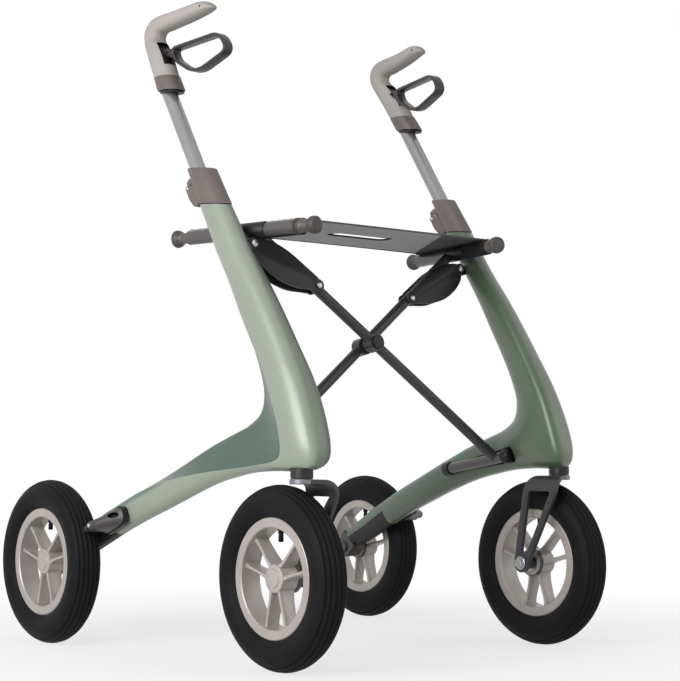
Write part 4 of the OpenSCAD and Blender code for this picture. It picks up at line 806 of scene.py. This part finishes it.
for name, side in sides.items():
    rings = [hornRing(k / horn["steps"]) for k in range(horn["steps"] + 1)]
    foot = sum(rings[0], Vector()) / horn["sides"]
    rings.insert(0, [foot + (p - foot) * 0.96 for p in rings[0]])
    rings[1] = [p + Vector((0.8, 0, 0)) for p in rings[1]]
    tip = Vector(horn["tip"])
    for r in (math.radians(a) for a in horn["tipAngles"]):  # round end
        rings.append([tip + (p - tip) * math.cos(r) + Vector((horn["tipRadius"] * math.sin(r), 0, 0))
                      for p in hornRing(1.0)])
    shoe = fitted("brake_shoe", skin(rings), "dark", name, "brake_bar", "dark_plastic", "brake_bar", angle=50)
    axis, along = Vector(horn["wellAxis"]).normalized(), Vector(horn["wellLong"]).normalized()
    turn = Matrix((along, axis.cross(along), axis)).transposed().to_4x4()
    well = turned([(1, -horn["wellDepth"]), (1, 20)], 32, Matrix.Translation(horn["wellAt"]) @ turn
                  @ Matrix.Diagonal((*horn["wellSize"], 1, 1)))
    # the well's walls are black: painted shade in the well
    carve(shoe, well, side, "black", 50)
    cap = turned(horn["pin"], 24, Matrix.Translation(tip + Vector((horn["tipRadius"] - 0.6, 0, 0))) @ toX)
    fitted("brake_shoe_pin", cap, "steel", name, "brake_bar", "steel")
    bar = turned(horn["barRod"], 32, Matrix.Translation((horn["from"], *horn["bar"])) @ toX)
    fitted("brake_bar_rubber", bar, "black", name, "brake_bar", "dark_plastic")
print("brake shoes")

# Hinge bushes in the side frame, and the lug that carries the folding link
bush = {"radius": 11, "inner": 60.9, "outer": 76.2, "bore": 7.6, "lugAbove": 450}
for name in sides:
    bm = bmesh.new()
    for e in (-1, 1):
        r, a, b = bush["radius"], e * bush["inner"], e * bush["outer"]
        turned([(bush["bore"], a), (r - 1, a), (r, a + e), (r, b - 3 * e), (r - 1.6, b - 0.8 * e), (r - 5, b),
                (0.6, b)], 40, hingeMatrix, False, bm)
    fitted("hinge_bushes", bm, "black", name, "frame", "black_plastic", "frame_brackets", angle=40)
    softened(f"link_lug_{name}", f"frame_brackets_{name}", "black", "black_plastic", 1.2, 3, bush["lugAbove"])
print("hinges")

# Folding links: black plates with bright rivets at both ends (x, z, lift and what carries them)
link = {"upper": (219, 136, 1.9, "frame"), "lower": (105.48, 81.01, 1.5, "link"), "face": 11.5,
        "rivet": [(4.8, 0), (4.8, 0.8), (4.0, 1.7), (2.2, 2.4), (0.7, 2.6)]}
for name, side in sides.items():
    softened(f"link_plates_{name}", f"link_{name}", "plate", "black_metal", 0.7, 2)
    for e, tag in ((-1, "front"), (1, "rear")):
        flip = Matrix.Rotation(math.radians(-90 * e), 4, "X")
        for where in ("upper", "lower"):
            x, z, lift, body = link[where]
            y = side * place["braceApart"] + e * (link["face"] + lift)
            rivet = turned(link["rivet"], 24, braceMatrix @ Matrix.Translation((x, y, z)) @ flip)
            fitted(f"link_rivet_{where}_{tag}", rivet, "steel", name, body, "steel")
print("links")

# Bag knobs: ringed collar, neck and mushroom cap in front, a shorter one without the ring behind
knob = {"front": [(8.6, -6), (10.2, -0.4), (12.0, -0.4), (12.4, 0.2), (12.4, 1.9), (11.3, 2.3), (11.3, 3.0),
                  (12.4, 3.4), (12.4, 4.9), (11.3, 5.3), (11.3, 6.0), (12.4, 6.4), (12.2, 7.6), (11.2, 8.4),
                  (10.4, 10), (9.6, 15), (8.8, 21), (8.8, 23.6), (10.2, 24.8), (12.0, 26.2), (12.9, 28.4),
                  (13.0, 33.6), (12.4, 36.2), (10.8, 37.6), (6.0, 38.0), (1.0, 38.0)],
        "back": [(8.6, -6), (10.2, -0.4), (10.5, 0.3), (9.4, 1.2), (8.5, 3.5), (8.2, 9), (8.4, 13.4),
                 (9.4, 15.6), (11.2, 18.0), (12.8, 21.6), (13.5, 25.4), (13.0, 27.2), (11.4, 28.1),
                 (6.0, 28.3), (1.0, 28.3)],
        "frontAt": -93, "backAt": 114, "frontCap": 24.4, "backCap": 14.6, "ring": 8.6}
for name in sides:
    bm = bmesh.new()
    for end, flip in (("back", -90), ("front", 90)):
        turned(knob[end], 40, railMatrix @ Matrix.Translation((0, knob[end + "At"], 0))
               @ Matrix.Rotation(math.radians(flip), 4, "X"), False, bm)
    inverse = railMatrix.inverted()
    for face in bm.faces:  # caps and ring in rubber
        along = (inverse @ face.calc_center_median()).y
        if along > 0:
            rubber = along - knob["backAt"] > knob["backCap"]
        else:
            rubber = not knob["ring"] <= knob["frontAt"] - along <= knob["frontCap"]
        face.material_index = int(rubber)
    fitted("bag_knob_pair", bm, "knob cap", name, "rail", "knob_plastic", "bag_knobs", angle=40)

# Black cloth tunnel along the inner side of each rail, and a saddle round it where the brace holds it
tunnel = {"front": -104, "back": 13, "saddleFront": -38, "lift": 0.9, "thick": 0.8, "from": 100, "to": 275,
          "steps": 18, "saddleProud": 0.5, "saddleEdge": 0.7}
for name in sides:
    inner = railRadius + tunnel["lift"]
    outer = inner + tunnel["thick"]
    turns = [math.radians(tunnel["from"] + (tunnel["to"] - tunnel["from"]) * k / tunnel["steps"])
             for k in range(tunnel["steps"] + 1)]
    front, back, start = tunnel["front"], tunnel["back"], tunnel["saddleFront"]
    rings = [[railMatrix @ Vector((r * math.cos(a), h, r * math.sin(a)))
              for r, row in ((inner, turns), (outer, turns[::-1])) for a in row]
             for h in (front, front + 1, back - 1, back)]
    fitted("rail_tunnel", skin(rings), "webbing", name, "rail", "seat_fabric", angle=40)
    r = outer + tunnel["saddleProud"]
    saddle = turned([(railRadius, start), (r - tunnel["saddleEdge"], start), (r, start + 1), (r, back + 1),
                     (r - tunnel["saddleEdge"], back + 2), (railRadius, back + 2)], 48,
                    railMatrix @ Matrix.Rotation(-math.pi / 2, 4, "X"))
    fitted("rail_saddle", saddle, "black", name, "rail", "black_plastic", angle=40)

# Bright end sleeves on the braces under the rails
brace = {"angle": math.degrees(math.atan2(-place["hinge"][2], place["hinge"][0])),
         "sleeve": [(7.9, 196), (8.3, 196.4), (8.3, 246), (7.9, 246.4)]}
for name, side in sides.items():
    at = (braceMatrix @ Matrix.Translation((0, side * place["braceApart"], 0))
          @ Matrix.Rotation(math.radians(90 - brace["angle"]), 4, "Y"))
    fitted("brace_sleeve", turned(brace["sleeve"], 40, at), "rail", name, "rail", "anodised_tube")
softened("brace_bolt_shell", "brace_bolt", "black", "steel", 0.8, 3)
print("brace and knobs")

# Sling seat: stretched over both rails, bound at its edges and round the hand slot
clothRadius = railRadius + clothSize["lift"]


def clothPoint(u, v):  # u runs -1..1 from the right to the left rail, v 0..1 from front to rear
    s = clothSize["front"] + (clothSize["back"] - clothSize["front"]) * v
    railX, railY = railMid.x + s * math.sin(railToe), railMid.y + s * math.cos(railToe)
    bow = -(clothSize["bow"] * (1 - v) ** 3 + clothSize["backBow"] * v ** 3) * (1 - min(1, abs(u)) ** 2)
    if abs(u) <= 1:
        z = railMid.z + clothRadius - clothSize["sag"] * (1 - u * u)
        return Vector((u * railX, railY + bow, z))
    a = math.radians(90 - (abs(u) - 1) * clothSize["wrapTurn"])
    x = math.copysign(railX + clothRadius * math.cos(a), u)
    return Vector((x, railY, railMid.z + clothRadius * math.sin(a)))


wrap = (90 - clothSize["wrapFrom"]) / clothSize["wrapTurn"]
wrapSteps, acrossSteps = clothSize["wrapSteps"], clothSize["acrossSteps"]
flatAcross = [-1 + 2 * k / acrossSteps for k in range(acrossSteps + 1)]
across = [-1 - wrap + wrap * k / wrapSteps for k in range(wrapSteps)] + flatAcross
across += [1 + wrap * (k + 1) / wrapSteps for k in range(wrapSteps)]
along = [k / clothSize["alongSteps"] for k in range(clothSize["alongSteps"] + 1)]
bm = bmesh.new()
grid = [[bm.verts.new(clothPoint(u, v)) for u in across] for v in along]
flatUv = bm.loops.layers.uv.new("flat")
for i in range(len(along) - 1):
    for j in range(len(across) - 1):
        face = bm.faces.new((grid[i][j], grid[i][j + 1], grid[i + 1][j + 1], grid[i + 1][j]))
        for corner in face.loops:
            corner[flatUv].uv = (corner.vert.co.x * mm, corner.vert.co.y * mm)
sling = addPiece("seat_sling", bm, "mesh", 1, 60, False)
modified(sling, "SOLIDIFY", thickness=clothSize["thick"] * mm, offset=0)
settled(sling)
slotPath = [Vector((x, clothSize["slotY"] + y)) for x, y in
            roundBox(clothSize["slotLength"] / 2, clothSize["slotWidth"] / 2, clothSize["slotCorner"], 8)]
cutter = skin([[Vector((p.x, p.y, z)) for p in slotPath] for z in (railMid.z - 20, railMid.z + 40)])
carve(sling, cutter, 1, "mesh", 60)


def binding(name, path, loop, radius, look="webbing"):  # a folded tape along an edge, a little flattened
    rings = []
    for i, p in enumerate(path):
        ahead = path[(i + 1) % len(path)] if loop or i + 1 < len(path) else p
        behind = path[i - 1] if loop or i else p
        run = (ahead - behind).normalized()
        flatSide = run.cross(Vector((0, 0, 1))).normalized()
        rise = flatSide.cross(run)
        wide = radius * clothSize["hemFlat"]
        rings.append([p + flatSide * (wide * math.cos(a)) + rise * (radius * math.sin(a))
                      for a in circle(12)])
    return addPiece(name, skin(rings, loop), look, 1, 60)


def clothHeight(x):
    return railMid.z + clothRadius - clothSize["sag"] * (1 - (x / railMid.x) ** 2)


hems = [binding("seat_hem_front", [clothPoint(u, 0.0) for u in flatAcross], False, clothSize["thinHem"],
                "tape"),
        binding("seat_hem_rear", [clothPoint(u, 1.0) for u in flatAcross], False, clothSize["hem"]),
        binding("seat_slot_binding", [Vector((p.x, p.y, clothHeight(p.x))) for p in slotPath], True,
                clothSize["thinHem"])]
for name, side in sides.items():  # welts beside the rails
    welt = [clothPoint(side * clothSize["weltAt"], v) - Vector((0, 0, clothSize["weltDrop"])) for v in along]
    hems.append(binding(f"seat_welt_{name}", welt, False, clothSize["welt"]))
for piece in [sling] + hems:
    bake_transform(piece)
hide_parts("seat_cloth")
print("seat")

# Solids that stay as they are take the same finishes
kept = {"tube": ["handle_tube_left", "handle_tube_right"], "rail": ["seat_rail_left", "seat_rail_right",
        "hinge_barrel_front", "hinge_barrel_rear"], "brace": ["brace_front", "brace_rear"],
        "steel": [f"{part}_{name}" for part in ("frame_pins", "front_bearings", "rear_bearings")
                  for name in sides]}
for look, solids in kept.items():
    for node in solids:
        nodes[node].data.materials[0] = finishes[look]
print("kept solids")


def seenRays(tree):  # 1 for what the camera sees, straight, mirrored or through glass
    paths = addNode(tree, "ShaderNodeLightPath", out=None)
    seen = calc(tree, "MAXIMUM", paths["Is Camera Ray"], paths["Is Glossy Ray"])
    return calc(tree, "MAXIMUM", seen, paths["Is Transmission Ray"])


# Studio: white floor and backdrop, a large soft key from the camera's left, fill and top light; each lamp has
# its place, size and watts
studio = {"floorSize": 14.0, "floorDrop": 0.5, "white": "#ffffff", "paper": "#f4f4f4", "ambient": 0.2,
          "fade": (0.35, 1.1, 0.72, 1.0),  # from, to, and the glow at both
          "lampAim": (0, 0, 0.45), "lamps": {
              "key": ((-2.8, -0.8, 1.25), 1.8, 78), "fill": ((1.6, -2.6, 1.4), 2.0, 11),
              "top": ((0.3, 0.4, 3.2), 2.4, 6)}}
floor = linked("floor", bpy.data.meshes.new("floor"))
bm = bmesh.new()
bmesh.ops.create_grid(bm, x_segments=1, y_segments=1, size=studio["floorSize"])
bm.to_mesh(floor.data)
bm.free()
floor.location.z = -studio["floorDrop"] * mm
paper = bpy.data.materials.new("paper_white_seamless")  # seamless paper: keeps soft shadows, fades to white
paper.use_nodes = True
tree = paper.node_tree
tree.nodes.clear()
reach = addNode(tree, "ShaderNodeVectorMath", {
    "operation": "LENGTH", 0: addNode(tree, "ShaderNodeTexCoord", out="Object")}, "Value")
fade = ranged(tree, reach, *studio["fade"])
matt = addNode(tree, "ShaderNodeBsdfDiffuse", {"Color": linear(studio["paper"])})
glow = addNode(tree, "ShaderNodeEmission", {"Color": linear(studio["white"]), "Strength": 1.0})
share = calc(tree, "MULTIPLY", fade, seenRays(tree))
both = addNode(tree, "ShaderNodeMixShader", {0: share, 1: matt, 2: glow})
addNode(tree, "ShaderNodeOutputMaterial", {"Surface": both}, None)
floor.data.materials.append(paper)

world = bpy.data.worlds.new("studio")
scene.world = world
world.use_nodes = True
tree = world.node_tree
tree.nodes.clear()
level = ranged(tree, seenRays(tree), 0.0, 1.0, studio["ambient"])
sky = addNode(tree, "ShaderNodeBackground", {"Color": linear(studio["white"]), "Strength": level})
addNode(tree, "ShaderNodeOutputWorld", {"Surface": sky}, None)

camera = {"at": (-1.6175, -2.0266, 0.3025), "yaw": 0.6906, "pitch": 0.0663, "lens": 86.32,
          "sensor": 36, "far": 60}
eye = bpy.data.cameras.new("camera")
eye.lens, eye.sensor_width, eye.clip_end = camera["lens"], camera["sensor"], camera["far"]
viewer = linked("camera", eye)
yaw, pitch = camera["yaw"], camera["pitch"]
gaze = Vector((math.sin(yaw) * math.cos(pitch), math.cos(yaw) * math.cos(pitch), math.sin(pitch)))
viewer.location = camera["at"]
viewer.rotation_euler = gaze.to_track_quat("-Z", "Y").to_euler()
scene.camera = viewer

for name, (at, size, power) in studio["lamps"].items():
    lamp = bpy.data.lights.new(name, "AREA")
    lamp.shape, lamp.size, lamp.energy = "SQUARE", size, power
    stand = linked(name, lamp)
    stand.location = at
    stand.rotation_euler = (Vector(studio["lampAim"]) - Vector(at)).to_track_quat("-Z", "Y").to_euler()
scene.view_settings.view_transform = "Standard"
print("studio")
